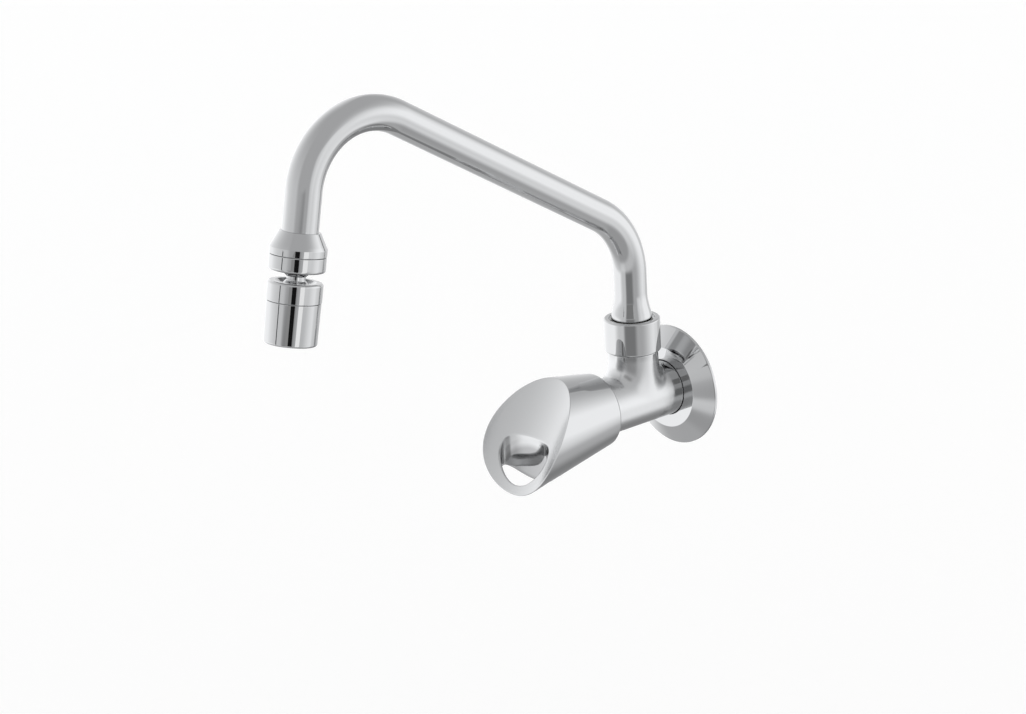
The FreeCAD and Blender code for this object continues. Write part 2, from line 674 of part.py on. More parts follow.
# ---------------------------------------------------------------- pieces that swing with the spout
def flare(offset):
    """Outline corners down the flared foot of the tube, moved in by an offset."""
    tube = TUBE_DIAMETER / 2 - offset
    foot = FLARE_DIAMETER / 2 - offset
    return [(tube, FLARE_TOP), (tube, FLARE_NECK, FLARE_NECK_RADIUS),
            (foot, FLARE_SHOULDER, FLARE_SHOULDER_RADIUS), (foot, FLARE_BOTTOM)]


def spout_tube():
    """Bent tube with a flared foot."""
    riser_top, first_centre, first_end, run_end, second_centre, second_end, _ = spout_route()
    outside = flare(0.0)
    outside[-1] = outside[-1] + (FLARE_EDGE_RADIUS,)
    foot = on_branch(turned(outside + flare(TUBE_WALL)[::-1]))
    outlet_heading = OUTLET_TILT - 90
    return foot.multiFuse([
        straight_tube((0.0, FLARE_TOP), 90, RISER_TOP - FLARE_TOP),
        bent_tube(riser_top, first_centre, 90, RUN_SLOPE),
        straight_tube(first_end, RUN_SLOPE, RUN_LENGTH),
        bent_tube(run_end, second_centre, RUN_SLOPE, outlet_heading),
        straight_tube(second_end, outlet_heading, OUTLET_STRAIGHT + TUBE_SOCKET_DEPTH),
    ]).removeSplitter()


def spout_tail():
    """Turned foot brazed in the flare: a collar under the nut and a sealed tail."""
    tail = TAIL_DIAMETER / 2
    bore = TAIL_BORE_DIAMETER / 2
    collar = TAIL_COLLAR_DIAMETER / 2
    neck = TAIL_NECK_DIAMETER / 2
    plug = [corner[:2] for corner in flare(TUBE_WALL + TAIL_PLUG_GAP)[:0:-1]]
    plug_radius = plug[0][0]
    corners = [
        (bore, TAIL_BOTTOM), (tail, TAIL_BOTTOM, 0.6), (tail, TAIL_COLLAR_BOTTOM),
        (collar, TAIL_COLLAR_BOTTOM, 0.3), (collar, TAIL_COLLAR_TOP, 0.3),
        (neck, TAIL_COLLAR_TOP), (neck, FLARE_BOTTOM - 0.05), (plug_radius, FLARE_BOTTOM - 0.05),
        (plug_radius, FLARE_BOTTOM + 0.05)]
    corners += plug[1:] + [(bore, FLARE_NECK)]
    body = turned(corners)
    half = SEAL_GROOVE_WIDTH / 2
    for height in TAIL_SEAL_HEIGHTS:
        body = body.cut(ring(tail - TAIL_SEAL_THICKNESS, tail + 1, height - half, height + half))
    return on_branch(body)


def spout_o_rings():
    middle = (TAIL_DIAMETER - TAIL_SEAL_THICKNESS) / 2
    return on_branch(Part.makeCompound([seal_ring(middle, TAIL_SEAL_THICKNESS, height)
                                        for height in TAIL_SEAL_HEIGHTS]))


def outlet_adapter():
    """Domed shoulder brazed on the tube, with the thread that carries the aerator."""
    radius = AERATOR_DIAMETER / 2
    thread = ADAPTER_THREAD_DIAMETER / 2
    thread_end = BALL_DEPTH - 0.2
    bore = ADAPTER_BORE_DIAMETER / 2
    water_way = ADAPTER_WATER_WAY_DIAMETER / 2
    socket = TUBE_DIAMETER / 2 + THREAD_PLAY
    socket_end = TUBE_SOCKET_DEPTH + 0.1
    return on_outlet(turned([
        (socket, 0), (SHOULDER_DIAMETER / 2, 0, 0.3),
        (radius - 0.5, SHOULDER_ARCH_HEIGHT, SHOULDER_ARCH_RADIUS), (radius, SHOULDER_HEIGHT),
        (radius, ADAPTER_HEIGHT, 0.3), (thread, ADAPTER_HEIGHT), (thread, thread_end),
        (bore, thread_end), (bore, ADAPTER_SHELF), (water_way, ADAPTER_SHELF),
        (water_way, socket_end), (socket, socket_end)]))


def adapter_washer():
    inner = ADAPTER_WATER_WAY_DIAMETER / 2 + 0.2
    outer = ADAPTER_BORE_DIAMETER / 2 - 0.1
    return on_outlet(ring(inner, outer, ADAPTER_SHELF + TIGHT_GAP, ADAPTER_WASHER_FRONT))


def swivel_collar():
    """Ring screwed on the adapter, whose spherical lip holds the ball up."""
    radius = AERATOR_DIAMETER / 2 - 0.05
    thread = ADAPTER_THREAD_DIAMETER / 2 + THREAD_PLAY
    shell = turned([(0, COLLAR_TOP), (radius, COLLAR_TOP, 0.3),
                    (radius, COLLAR_BOTTOM, COLLAR_BOTTOM_RADIUS), (0, COLLAR_BOTTOM)])
    shell = shell.cut(rod(thread, ADAPTER_HEIGHT, COLLAR_THREAD_DEPTH))
    return on_outlet(shell.cut(ball_space()))


# ---------------------------------------------------------------- ball joint and aerator
def ball_space():
    return Part.makeSphere(BALL_RADIUS + BALL_CLEARANCE, FreeCAD.Vector(0, 0, BALL_DEPTH))


def ball_seat():
    """Low-friction seat above the ball, which turns with it in the adapter."""
    outer = ADAPTER_BORE_DIAMETER / 2 - 0.1
    seat = ring(BALL_SEAT_BORE_DIAMETER / 2, outer, BALL_SEAT_BACK, BALL_SEAT_FRONT)
    return on_outlet(seat.cut(ball_space()))


def ball_stem():
    """Bored ball with a neck, a resting cone and a thread for the aerator's head."""
    neck = NECK_DIAMETER / 2
    thread = STEM_THREAD_DIAMETER / 2
    stem = turned([
        (0, BALL_DEPTH), (neck, BALL_DEPTH), (neck, HEAD_TOP - 0.4, 1.0),
        (STEM_CONE_RADIUS, STEM_CONE_TOP), (STEM_CONE_RADIUS, STEM_SHELF), (thread, STEM_SHELF),
        (thread, STEM_END), (0, STEM_END)])
    ball = Part.makeSphere(BALL_RADIUS, FreeCAD.Vector(0, 0, BALL_DEPTH)).fuse(stem)
    ball = ball.cut(rod(WATER_WAY_DIAMETER / 2, 0, SLEEVE_BOTTOM))
    return on_outlet(ball.removeSplitter())


def aerator_head():
    """Upper half of the aerator: a dish round the neck and a threaded skirt."""
    radius = HEAD_DIAMETER / 2
    hole = STEM_THREAD_DIAMETER / 2 + THREAD_PLAY
    floor = HEAD_TOP + HEAD_DISH_DEPTH
    thread = HEAD_THREAD_DIAMETER / 2
    skirt_end = HEAD_SEAM + HEAD_THREAD_LENGTH
    return on_outlet(turned([
        (hole, floor), (HEAD_DISH_FLOOR_RADIUS, floor, 0.8), (HEAD_DISH_RADIUS, HEAD_TOP, 0.3),
        (radius, HEAD_TOP, HEAD_EDGE_RADIUS), (radius, HEAD_SEAM, 0.3), (thread, HEAD_SEAM),
        (thread, skirt_end), (HEAD_BORE_RADIUS, skirt_end), (HEAD_BORE_RADIUS, HEAD_ROOF, 1.5),
        (hole, HEAD_ROOF)]))


def aerator_sleeve():
    """Lower sleeve, screwed on the head, with a lip that holds the insert."""
    top = SLEEVE_TOP_DIAMETER / 2
    bottom = SLEEVE_BOTTOM_DIAMETER / 2
    bore = HEAD_THREAD_DIAMETER / 2 + THREAD_PLAY
    mouth = MOUTH_DIAMETER / 2
    upper_edge = HEAD_SEAM + SLEEVE_GAP
    lip_top = SLEEVE_BOTTOM - SLEEVE_LIP
    return on_outlet(turned([
        (bore, upper_edge), (top, upper_edge, 0.25), (bottom, SLEEVE_BOTTOM, 1.0),
        (mouth, SLEEVE_BOTTOM, 0.4), (mouth, lip_top), (bore, lip_top)]))


def sleeve_washer():
    outer = HEAD_THREAD_DIAMETER / 2 - 0.1
    return on_outlet(ring(SLEEVE_WASHER_BORE_DIAMETER / 2, outer, SLEEVE_WASHER_BACK,
                          SLEEVE_WASHER_FRONT))


def flow_regulator():
    """Disc with a ring of small metering holes."""
    front = REGULATOR_BACK + REGULATOR_DEPTH
    plate = turned([(0, REGULATOR_BACK), (INSERT_RADIUS, REGULATOR_BACK),
                    (INSERT_RADIUS, front - 0.8), (INSERT_RADIUS - 1.3, front), (0, front)])
    hole = rod(REGULATOR_HOLE_DIAMETER / 2, REGULATOR_BACK, front)
    hole = hole.translated(X_AXIS * REGULATOR_HOLE_CIRCLE_RADIUS)
    return on_outlet(plate.cut(Part.makeCompound(round_array(hole, REGULATOR_HOLES))))


def aerator_insert():
    """Cup with air slots round its wall, which carries the screen."""
    front = SLEEVE_BOTTOM - SLEEVE_LIP - 0.05
    step = front - INSERT_MOUTH_DEPTH
    cup = turned([
        (INSERT_BORE_RADIUS, INSERT_BACK), (INSERT_RADIUS, INSERT_BACK, 0.3),
        (INSERT_RADIUS, front), (INSERT_MOUTH_RADIUS, front), (INSERT_MOUTH_RADIUS, step),
        (INSERT_BORE_RADIUS, step - 1)])
    slot = block(1.8, 6.0, INSERT_BACK + 1.2, INSERT_BACK + 2.8)
    slot = slot.translated(FreeCAD.Vector(0, INSERT_MOUTH_RADIUS, 0))
    return on_outlet(cup.cut(Part.makeCompound(round_array(slot, INSERT_SLOTS))))


def aerator_screen():
    """Outlet grid: a square mesh in a rim, inside the insert's mouth."""
    front = SLEEVE_BOTTOM - SLEEVE_LIP - 0.3
    back = front - SCREEN_DEPTH
    rim = ring(SCREEN_RIM_INNER_RADIUS, SCREEN_RIM_OUTER_RADIUS, front - SCREEN_RIM_DEPTH, front)
    bars = []
    for index in range(-SCREEN_BARS_EACH_SIDE, SCREEN_BARS_EACH_SIDE + 1):
        bar = block(SCREEN_BAR_WIDTH, 2 * SCREEN_RIM_OUTER_RADIUS, back, front)
        bar = bar.translated(X_AXIS * (index * SCREEN_BAR_PITCH))
        bars.append(bar)
        bars.append(bar.rotated(ORIGIN, Z_AXIS, 90))
    mesh = bars[0].multiFuse(bars[1:]).common(rod(SCREEN_RIM_INNER_RADIUS + 0.3, back, front))
    return on_outlet(rim.fuse(mesh).removeSplitter())


# ---------------------------------------------------------------- write every piece
PIECES = (
    valve_body, wall_flange, flange_ring, spout_nut, slip_ring, cartridge_bonnet,
    bonnet_o_ring, seat_gasket, fixed_disc,
    moving_disc, spindle, spindle_o_rings, thrust_washer, spindle_clip, handle_bushing,
    handle_screw, handle_knob,
    spout_tube, spout_tail, spout_o_rings, outlet_adapter, adapter_washer, swivel_collar,
    ball_seat, ball_stem, aerator_head, aerator_sleeve, sleeve_washer, flow_regulator,
    aerator_insert, aerator_screen,
)

os.makedirs("parts", exist_ok=True)
for piece in PIECES:
    shape = piece()
    shape.exportStep(f"parts/{piece.__name__}.step")
    print(piece.__name__, "solids", len(shape.Solids), "valid", shape.isValid(),
          "volume", round(shape.Volume, 1))
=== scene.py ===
"""Looks of a chromed wall tap: smooth turned and bent pieces round the fixed frame."""

import json
import math

import bmesh
import bpy
from mathutils import Matrix, Vector


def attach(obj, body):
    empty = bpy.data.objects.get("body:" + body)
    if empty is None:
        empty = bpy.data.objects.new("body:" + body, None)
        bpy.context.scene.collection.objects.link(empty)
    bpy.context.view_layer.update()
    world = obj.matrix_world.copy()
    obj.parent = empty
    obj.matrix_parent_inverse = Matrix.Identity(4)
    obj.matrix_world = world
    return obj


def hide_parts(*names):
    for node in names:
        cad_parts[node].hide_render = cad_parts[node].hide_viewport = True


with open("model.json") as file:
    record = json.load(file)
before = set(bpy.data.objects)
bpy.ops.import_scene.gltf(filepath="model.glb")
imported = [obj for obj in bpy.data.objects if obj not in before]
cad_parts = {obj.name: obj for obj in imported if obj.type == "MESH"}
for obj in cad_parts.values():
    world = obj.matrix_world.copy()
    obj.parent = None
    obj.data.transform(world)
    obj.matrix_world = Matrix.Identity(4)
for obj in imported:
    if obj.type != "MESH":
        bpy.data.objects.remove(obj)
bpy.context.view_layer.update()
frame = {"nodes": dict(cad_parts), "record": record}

# ---------------------------------------------------------------- sizes, mm
MM = 0.001
BARREL_RADIUS = 13.65
BARREL_BACK = 3.0
BARREL_FRONT = 58.0
SEAT_REACH = 17.0
INLET_RADIUS = 7.0
SHANK_RADIUS = 10.48
SHANK_LENGTH = 17.0
THREAD_ROOT_RADIUS = 9.35
THREAD_PITCH = 1.814
BRANCH_REACH = 26.85
BRANCH_RADIUS = 12.2
BRANCH_TOP = 24.3
ROOT_TOP = 23.6
ROOT_REACH = 27.5
ROOT_HALF_LENGTH = 16.2
ROOT_HALF_GIRTH = 19.6
BRANCH_BORE_RADIUS = 8.05
SPIGOT_RADIUS = 11.4
SPIGOT_TOP = 34.3

FLANGE_RADIUS = 30.0
FLANGE_LIP = 1.4
FLANGE_DEPTH = 7.1
FLANGE_FRONT_RADIUS = 20.3
FLANGE_SHEET = 1.0

NUT_RADIUS = 13.65
NUT_TOP = 40.8
NUT_LIP_BOTTOM = 37.8
NUT_RECESS_DEPTH = 1.5
NUT_RECESS_RADIUS = 11.2
NUT_HOLE_RADIUS = 10.3

TUBE_RADIUS = 7.9
TUBE_WALL = 1.0
FLARE_BOTTOM = 39.6
FLARE_SHOULDER = 42.2
FLARE_NECK = 49.6
FLARE_TOP = 58.5
FLARE_RADIUS = 9.9
RISER_TOP = 63.1
FIRST_BEND_RADIUS = 37.4
RUN_SLOPE = 30.3
RUN_LENGTH = 131.2
SECOND_BEND_RADIUS = 34.4
OUTLET_TILT = 11.9
OUTLET_STRAIGHT = 16.9
TUBE_SOCKET_DEPTH = 6.0

AERATOR_RADIUS = 12.3
SHOULDER_RADIUS = 8.9
SHOULDER_HEIGHT = 6.9
ADAPTER_HEIGHT = 10.0
COLLAR_BOTTOM = 16.8
BALL_DEPTH = 13.2
BALL_RADIUS = 7.2
NECK_RADIUS = 4.2
WATER_WAY_RADIUS = 2.8
HEAD_TOP = 21.2
HEAD_RADIUS = 11.9
HEAD_SEAM = 29.8
SLEEVE_TOP_RADIUS = 11.75
SLEEVE_BOTTOM_RADIUS = 11.5
SLEEVE_BOTTOM = 48.3
MOUTH_RADIUS = 9.3

KNOB_BACK = 51.65
KNOB_BACK_RADIUS = 17.95
KNOB_FLARE = 0.171
KNOB_WALL = 2.4
KNOB_FACE_REACH = 90.1
KNOB_FACE_TILT = math.radians(32.8)
KNOB_SCOOP_RADIUS = 54.0
FINGER_HOLE_REACH = 98.3
FINGER_HOLE_HALF_WIDTH = 16.2
FINGER_HOLE_HALF_DEPTH = 6.1
HUB_RADIUS = 9.6
HUB_BACK = 70.6

# ---------------------------------------------------------------- mesh density
ARC_STEPS = 10
GUARD = 0.15
SPIN_STEPS = 160
SHARP_ANGLE = math.radians(32)


# ---------------------------------------------------------------- outlines of turned pieces
def rounded_corner(before, corner, after, radius):
    """Points of the arc that rounds one corner."""
    to_before = (before - corner).normalized()
    to_after = (after - corner).normalized()
    half = to_before.angle(to_after) / 2
    centre = corner + (to_before + to_after).normalized() * (radius / math.sin(half))
    reach = radius / math.tan(half)
    first = (corner + to_before * reach - centre).normalized()
    last = (corner + to_after * reach - centre).normalized()
    return [centre + first.slerp(last, step / ARC_STEPS) * radius
            for step in range(ARC_STEPS + 1)]


def profile(corners, closed=True):
    """Dense (radius, height) points; a corner's third value rounds it.

    Each straight stretch gets a point just inside both ends, so that its shading stays straight.
    """
    points = [Vector(corner[:2]) for corner in corners]
    turns = []
    for index, corner in enumerate(corners):
        if len(corner) == 2 or (not closed and index in (0, len(corners) - 1)):
            turns.append([points[index]])
            continue
        after = points[(index + 1) % len(points)]
        turns.append(rounded_corner(points[index - 1], points[index], after, corner[2]))
    dense = []
    for index, turn in enumerate(turns):
        dense += turn
        if not closed and index == len(turns) - 1:
            continue
        start = turn[-1]
        end = turns[(index + 1) % len(turns)][0]
        length = (end - start).length
        if length > 3 * GUARD:
            step = (end - start).normalized() * GUARD
            dense += [start + step, end - step]
    return dense


def turned(corners):
    """A closed skin: an outline of (radius, height) corners spun round the Z axis."""
    bm = bmesh.new()
    verts = [bm.verts.new((point.x, 0, point.y)) for point in profile(corners)]
    edges = [bm.edges.new((verts[index - 1], verts[index])) for index in range(len(verts))]
    bmesh.ops.spin(bm, geom=verts + edges, cent=(0, 0, 0), axis=(0, 0, 1), dvec=(0, 0, 0),
                   angle=2 * math.pi, steps=SPIN_STEPS, use_merge=True, use_duplicate=False)
    axis_edges = [edge for edge in bm.edges
                  if all(math.hypot(vert.co.x, vert.co.y) < 1e-5 for vert in edge.verts)]
    bmesh.ops.delete(bm, geom=axis_edges, context="EDGES")
    return bm


# ---------------------------------------------------------------- skins made ring by ring
def first_ring(bm, places):
    ring = bmesh.ops.create_circle(bm, cap_ends=False, radius=1.0, segments=len(places))["verts"]
    for vert, place in zip(ring, places):
        vert.co = place
    return ring


def ring_edges(bm, ring):
    return [bm.edges.get((ring[index - 1], ring[index])) for index in range(len(ring))]


def next_ring(bm, ring, places):
    """Extrudes a ring and moves its copy to the given places."""
    made = bmesh.ops.extrude_edge_only(bm, edges=ring_edges(bm, ring))["geom"]
    fresh = {item for item in made if isinstance(item, bmesh.types.BMVert)}
    grown = []
    for vert, place in zip(ring, places):
        new = next(edge.other_vert(vert) for edge in vert.link_edges
                   if edge.other_vert(vert) in fresh)
        new.co = place
        grown.append(new)
    return grown


def grow(bm, ring, list_of_places):
    rings = []
    for places in list_of_places:
        ring = next_ring(bm, ring, places)
        rings.append(ring)
    return rings


def cap(bm, ring):
    bmesh.ops.contextual_create(bm, geom=ring_edges(bm, ring))


def window(bm, rings, row_start, row_end, column_start, column_end):
    """Deletes a block of faces from stacked rings and returns its border, in order."""
    inside = set()
    for row in range(row_start, row_end + 1):
        for column in range(column_start, column_end + 1):
            inside.add(rings[row][column])
    faces = {face for vert in inside for face in vert.link_faces
             if all(corner in inside for corner in face.verts)}
    bmesh.ops.delete(bm, geom=list(faces), context="FACES")
    border = [rings[row_start][column] for column in range(column_start, column_end)]
    border += [rings[row][column_end] for row in range(row_start, row_end)]
    border += [rings[row_end][column] for column in range(column_end, column_start, -1)]
    border += [rings[row][column_start] for row in range(row_end, row_start, -1)]
    return border


def circle(count, radius, reach):
    return [Vector((radius * math.cos(angle), radius * math.sin(angle), reach))
            for angle in turn_angles(count)]


def turn_angles(count):
    return [2 * math.pi * index / count for index in range(count)]


def lathe_rings(count, corners):
    return [circle(count, point.x, point.y) for point in profile(corners, closed=False)]


def arc_between(start, corner, end, share):
    """A point of the circular arc that leaves start and meets end, both towards corner."""
    half = (start - corner).angle(end - corner) / 2
    weight = math.sin(half)
    near = (1 - share) ** 2
    middle = 2 * share * (1 - share) * weight
    far = share ** 2
    return (start * near + corner * middle + end * far) / (near + middle + far)


# ---------------------------------------------------------------- places of the three axes
def ahead(place, heading, length):
    angle = math.radians(heading)
    return (place[0] + length * math.cos(angle), place[1] + length * math.sin(angle))


def spout_route():
    """(distance out from the riser, height) joints of the spout's centre line."""
    riser_top = (0.0, RISER_TOP)
    first_centre = ahead(riser_top, 0, FIRST_BEND_RADIUS)
    first_end = ahead(first_centre, RUN_SLOPE + 90, FIRST_BEND_RADIUS)
    run_end = ahead(first_end, RUN_SLOPE, RUN_LENGTH)
    second_centre = ahead(run_end, RUN_SLOPE - 90, SECOND_BEND_RADIUS)
    second_end = ahead(second_centre, OUTLET_TILT, SECOND_BEND_RADIUS)
    seam = ahead(second_end, OUTLET_TILT - 90, OUTLET_STRAIGHT)
    return first_centre, second_centre, second_end, seam


SEAM = spout_route()[-1]
ON_BARREL = Matrix.Rotation(math.radians(90), 4, "X")
ON_BRANCH = Matrix.Translation((0, -BRANCH_REACH, 0))
ON_OUTLET = (Matrix.Translation((0, -BRANCH_REACH - SEAM[0], SEAM[1]))
             @ Matrix.Rotation(math.radians(180 - OUTLET_TILT), 4, "X"))


# ---------------------------------------------------------------- body: barrel and branch
BARREL_COLUMNS = 128
ROOT_ROWS = 44
ROOT_COLUMNS = 72
BLEND_RINGS = 24
PATCH_RINGS = 8


def branch_place(radius, height, angle):
    return Vector((radius * math.cos(angle), height,
                   BRANCH_REACH + radius * math.sin(angle)))


def blend_place(turn, share):
    """From the barrel's wall, share 0, to the branch's wall, share 1, in one soft sweep."""
    angle = math.pi / 2 - ROOT_HALF_GIRTH * math.cos(turn) / BARREL_RADIUS
    foot = barrel_place(angle, ROOT_REACH + ROOT_HALF_LENGTH * math.sin(turn))
    top = branch_place(BRANCH_RADIUS, ROOT_TOP, turn)
    corner_height = (BARREL_RADIUS ** 2 - foot.x * top.x) / foot.y
    corner = Vector((top.x, corner_height, top.z))
    near_foot = foot.lerp(corner, 0.9)
    near_top = top.lerp(corner, 0.65)
    rest = 1 - share
    return (foot * rest ** 3 + near_foot * 3 * rest ** 2 * share
            + near_top * 3 * rest * share ** 2 + top * share ** 3)


def barrel_place(angle, reach):
    return Vector((BARREL_RADIUS * math.cos(angle), BARREL_RADIUS * math.sin(angle), reach))


def tap_barrel():
    """Inlet bore, shank, barrel, and the branch that grows from it with a rolled corner."""
    bm = bmesh.new()
    root_back = ROOT_REACH - ROOT_HALF_LENGTH - 3.5
    root_front = ROOT_REACH + ROOT_HALF_LENGTH + 3.5
    back = lathe_rings(BARREL_COLUMNS, [
        (INLET_RADIUS, SEAT_REACH - 1), (INLET_RADIUS, -SHANK_LENGTH, 0.4),
        (THREAD_ROOT_RADIUS - 0.5, -SHANK_LENGTH), (THREAD_ROOT_RADIUS, 0.7 - SHANK_LENGTH),
        (THREAD_ROOT_RADIUS, 0.6), (SHANK_RADIUS - 0.3, 1.4), (SHANK_RADIUS - 0.3, BARREL_BACK),
        (BARREL_RADIUS, BARREL_BACK, 0.4), (BARREL_RADIUS, root_back)])
    ring = first_ring(bm, back[0])
    cap(bm, ring)
    back_rings = grow(bm, ring, back[1:])
    root = [circle(BARREL_COLUMNS, BARREL_RADIUS,
                   mixed(root_back, root_front, (row + 1) / ROOT_ROWS))
            for row in range(ROOT_ROWS)]
    root_rings = [back_rings[-1]] + grow(bm, back_rings[-1], root)
    front = lathe_rings(BARREL_COLUMNS, [
        (BARREL_RADIUS, root_front), (BARREL_RADIUS, BARREL_FRONT, 0.5),
        (BARREL_RADIUS - 3.5, BARREL_FRONT), (BARREL_RADIUS - 3.5, BARREL_FRONT - 1)])
    cap(bm, grow(bm, root_rings[-1], front[1:])[-1])

    top_column = BARREL_COLUMNS // 4
    border = window(bm, root_rings, 0, ROOT_ROWS, top_column - ROOT_COLUMNS // 2,
                    top_column + ROOT_COLUMNS // 2)
    border_spots = [(round_from_top(vert.co), vert.co.z) for vert in border]
    angles = even_angles([math.atan2(reach - ROOT_REACH, (math.pi / 2 - angle) * BARREL_RADIUS)
                          for angle, reach in border_spots])
    patch = []
    for step in range(1, PATCH_RINGS + 1):
        share = step / PATCH_RINGS
        places = []
        for (angle, reach), turn in zip(border_spots, angles):
            foot = blend_place(turn, 0)
            foot_angle = round_from_top(foot)
            places.append(barrel_place(angle + (foot_angle - angle) * share,
                                       reach + (foot.z - reach) * share))
        patch.append(places)
    ring = grow(bm, border, patch)[-1]
    blend = [[blend_place(turn, step / BLEND_RINGS) for turn in angles]
             for step in range(1, BLEND_RINGS + 1)]
    ring = grow(bm, ring, blend)[-1]
    upper = profile([(BRANCH_RADIUS, ROOT_TOP), (BRANCH_RADIUS, BRANCH_TOP, 0.5),
                     (SPIGOT_RADIUS, BRANCH_TOP), (SPIGOT_RADIUS, SPIGOT_TOP),
                     (BRANCH_BORE_RADIUS, SPIGOT_TOP), (BRANCH_BORE_RADIUS, 11.0)],
                    closed=False)
    stack = [[branch_place(point.x, point.y, turn) for turn in angles] for point in upper]
    low = max(vert.co.y for vert in ring)
    stack[0] = [branch_place(BRANCH_RADIUS, low + GUARD, turn) for turn in angles]
    cap(bm, grow(bm, ring, stack)[-1])
    return bm


def round_from_top(place):
    """The angle round the barrel, without a jump on its upper three quarters."""
    return math.pi / 2 + math.atan2(-place.x, place.y)


def even_angles(rough):
    """Evenly spaced angles that start where a rough, steadily turning list starts."""
    count = len(rough)
    steps = [(rough[(index + 1) % count] - rough[index] + math.pi) % (2 * math.pi) - math.pi
             for index in range(count)]
    way = 1 if sum(steps) > 0 else -1
    return [rough[0] + way * 2 * math.pi * index / count for index in range(count)]


def inlet_thread():
    """A round-crested ridge wound along the shank."""
    bm = bmesh.new()
    half = THREAD_PITCH / 2
    ridge = [(THREAD_ROOT_RADIUS - 0.1, -half * 0.86), (THREAD_ROOT_RADIUS + 0.25, -half * 0.62),
             (SHANK_RADIUS - 0.12, -half * 0.16), (SHANK_RADIUS, 0.0),
             (SHANK_RADIUS - 0.12, half * 0.16), (THREAD_ROOT_RADIUS + 0.25, half * 0.62),
             (THREAD_ROOT_RADIUS - 0.1, half * 0.86)]
    start = -SHANK_LENGTH + 1.6
    verts = [bm.verts.new((radius, 0, start + height)) for radius, height in ridge]
    edges = [bm.edges.new((verts[index - 1], verts[index])) for index in range(len(verts))]
    turns = 8
    steps_per_turn = 72
    face = bmesh.ops.contextual_create(bm, geom=edges)["faces"]
    bmesh.ops.spin(bm, geom=face + verts + edges, cent=(0, 0, 0), axis=(0, 0, 1),
                   dvec=(0, 0, THREAD_PITCH / steps_per_turn), angle=2 * math.pi * turns,
                   steps=steps_per_turn * turns, use_merge=False, use_duplicate=False)
    return bm


# ---------------------------------------------------------------- knob
KNOB_COLUMNS = 192
KNOB_ROWS = 96
HOLE_ROWS = 32
HOLE_COLUMNS = 64
FACE_RINGS = 30
TUNNEL_RINGS = 12
CORNER_RINGS = 6
# how the window in the cone's underside is shared out round the finger hole's lower end
HOLE_EXIT_HALF_WIDTH = 26.0
HOLE_EXIT_TURN = 2.66


def knob_radius(reach):
    return KNOB_BACK_RADIUS + KNOB_FLARE * (reach - KNOB_BACK)


def cone_place(angle, reach):
    radius = knob_radius(reach)
    return Vector((radius * math.cos(angle), radius * math.sin(angle), reach))


def scoop_rise(across):
    """How far the hollowed face stands out of its deepest line, at a distance across it."""
    return KNOB_SCOOP_RADIUS - math.sqrt(KNOB_SCOOP_RADIUS ** 2 - across ** 2)


def face_place(across, height):
    """The point of the hollowed face in front of (across, height)."""
    lift = scoop_rise(across) - height * math.sin(KNOB_FACE_TILT)
    return Vector((across, height, KNOB_FACE_REACH + lift / math.cos(KNOB_FACE_TILT)))


def face_under(across, reach):
    """The point of the hollowed face over (across, reach)."""
    setback = (reach - KNOB_FACE_REACH) * math.cos(KNOB_FACE_TILT)
    height = (scoop_rise(across) - setback) / math.sin(KNOB_FACE_TILT)
    return Vector((across, height, reach))


def face_edge(angle):
    """Where the cone's line at an angle meets the hollowed face."""
    reach = KNOB_FACE_REACH
    for _ in range(30):
        radius = knob_radius(reach)
        reach = face_place(radius * math.cos(angle), radius * math.sin(angle)).z
    return cone_place(angle, reach)


def hole_place(turn):
    """(across, reach) on the finger hole's oval."""
    return (FINGER_HOLE_HALF_WIDTH * math.cos(turn),
            FINGER_HOLE_REACH + FINGER_HOLE_HALF_DEPTH * math.sin(turn))


def hole_outward(turn):
    """(across, reach) step that leads away from the oval, square to it."""
    step = Vector((math.cos(turn) / FINGER_HOLE_HALF_WIDTH,
                   math.sin(turn) / FINGER_HOLE_HALF_DEPTH))
    return step.normalized() * 0.1


def underside_place(across, reach):
    radius = knob_radius(reach)
    return Vector((across, -math.sqrt(radius ** 2 - across ** 2), reach))


def rounded(corner, towards_first, towards_second, radius):
    """Ends of the arc of a given radius in a corner between two directions."""
    first = (towards_first - corner).normalized()
    second = (towards_second - corner).normalized()
    leg = radius / math.tan(first.angle(second) / 2)
    return corner + first * leg, corner + second * leg


def corner_rings(starts, corners, ends):
    return [[arc_between(start, corner, end, step / CORNER_RINGS)
             for start, corner, end in zip(starts, corners, ends)]
            for step in range(1, CORNER_RINGS)]


def mixed(first, second, share):
    return first + (second - first) * share


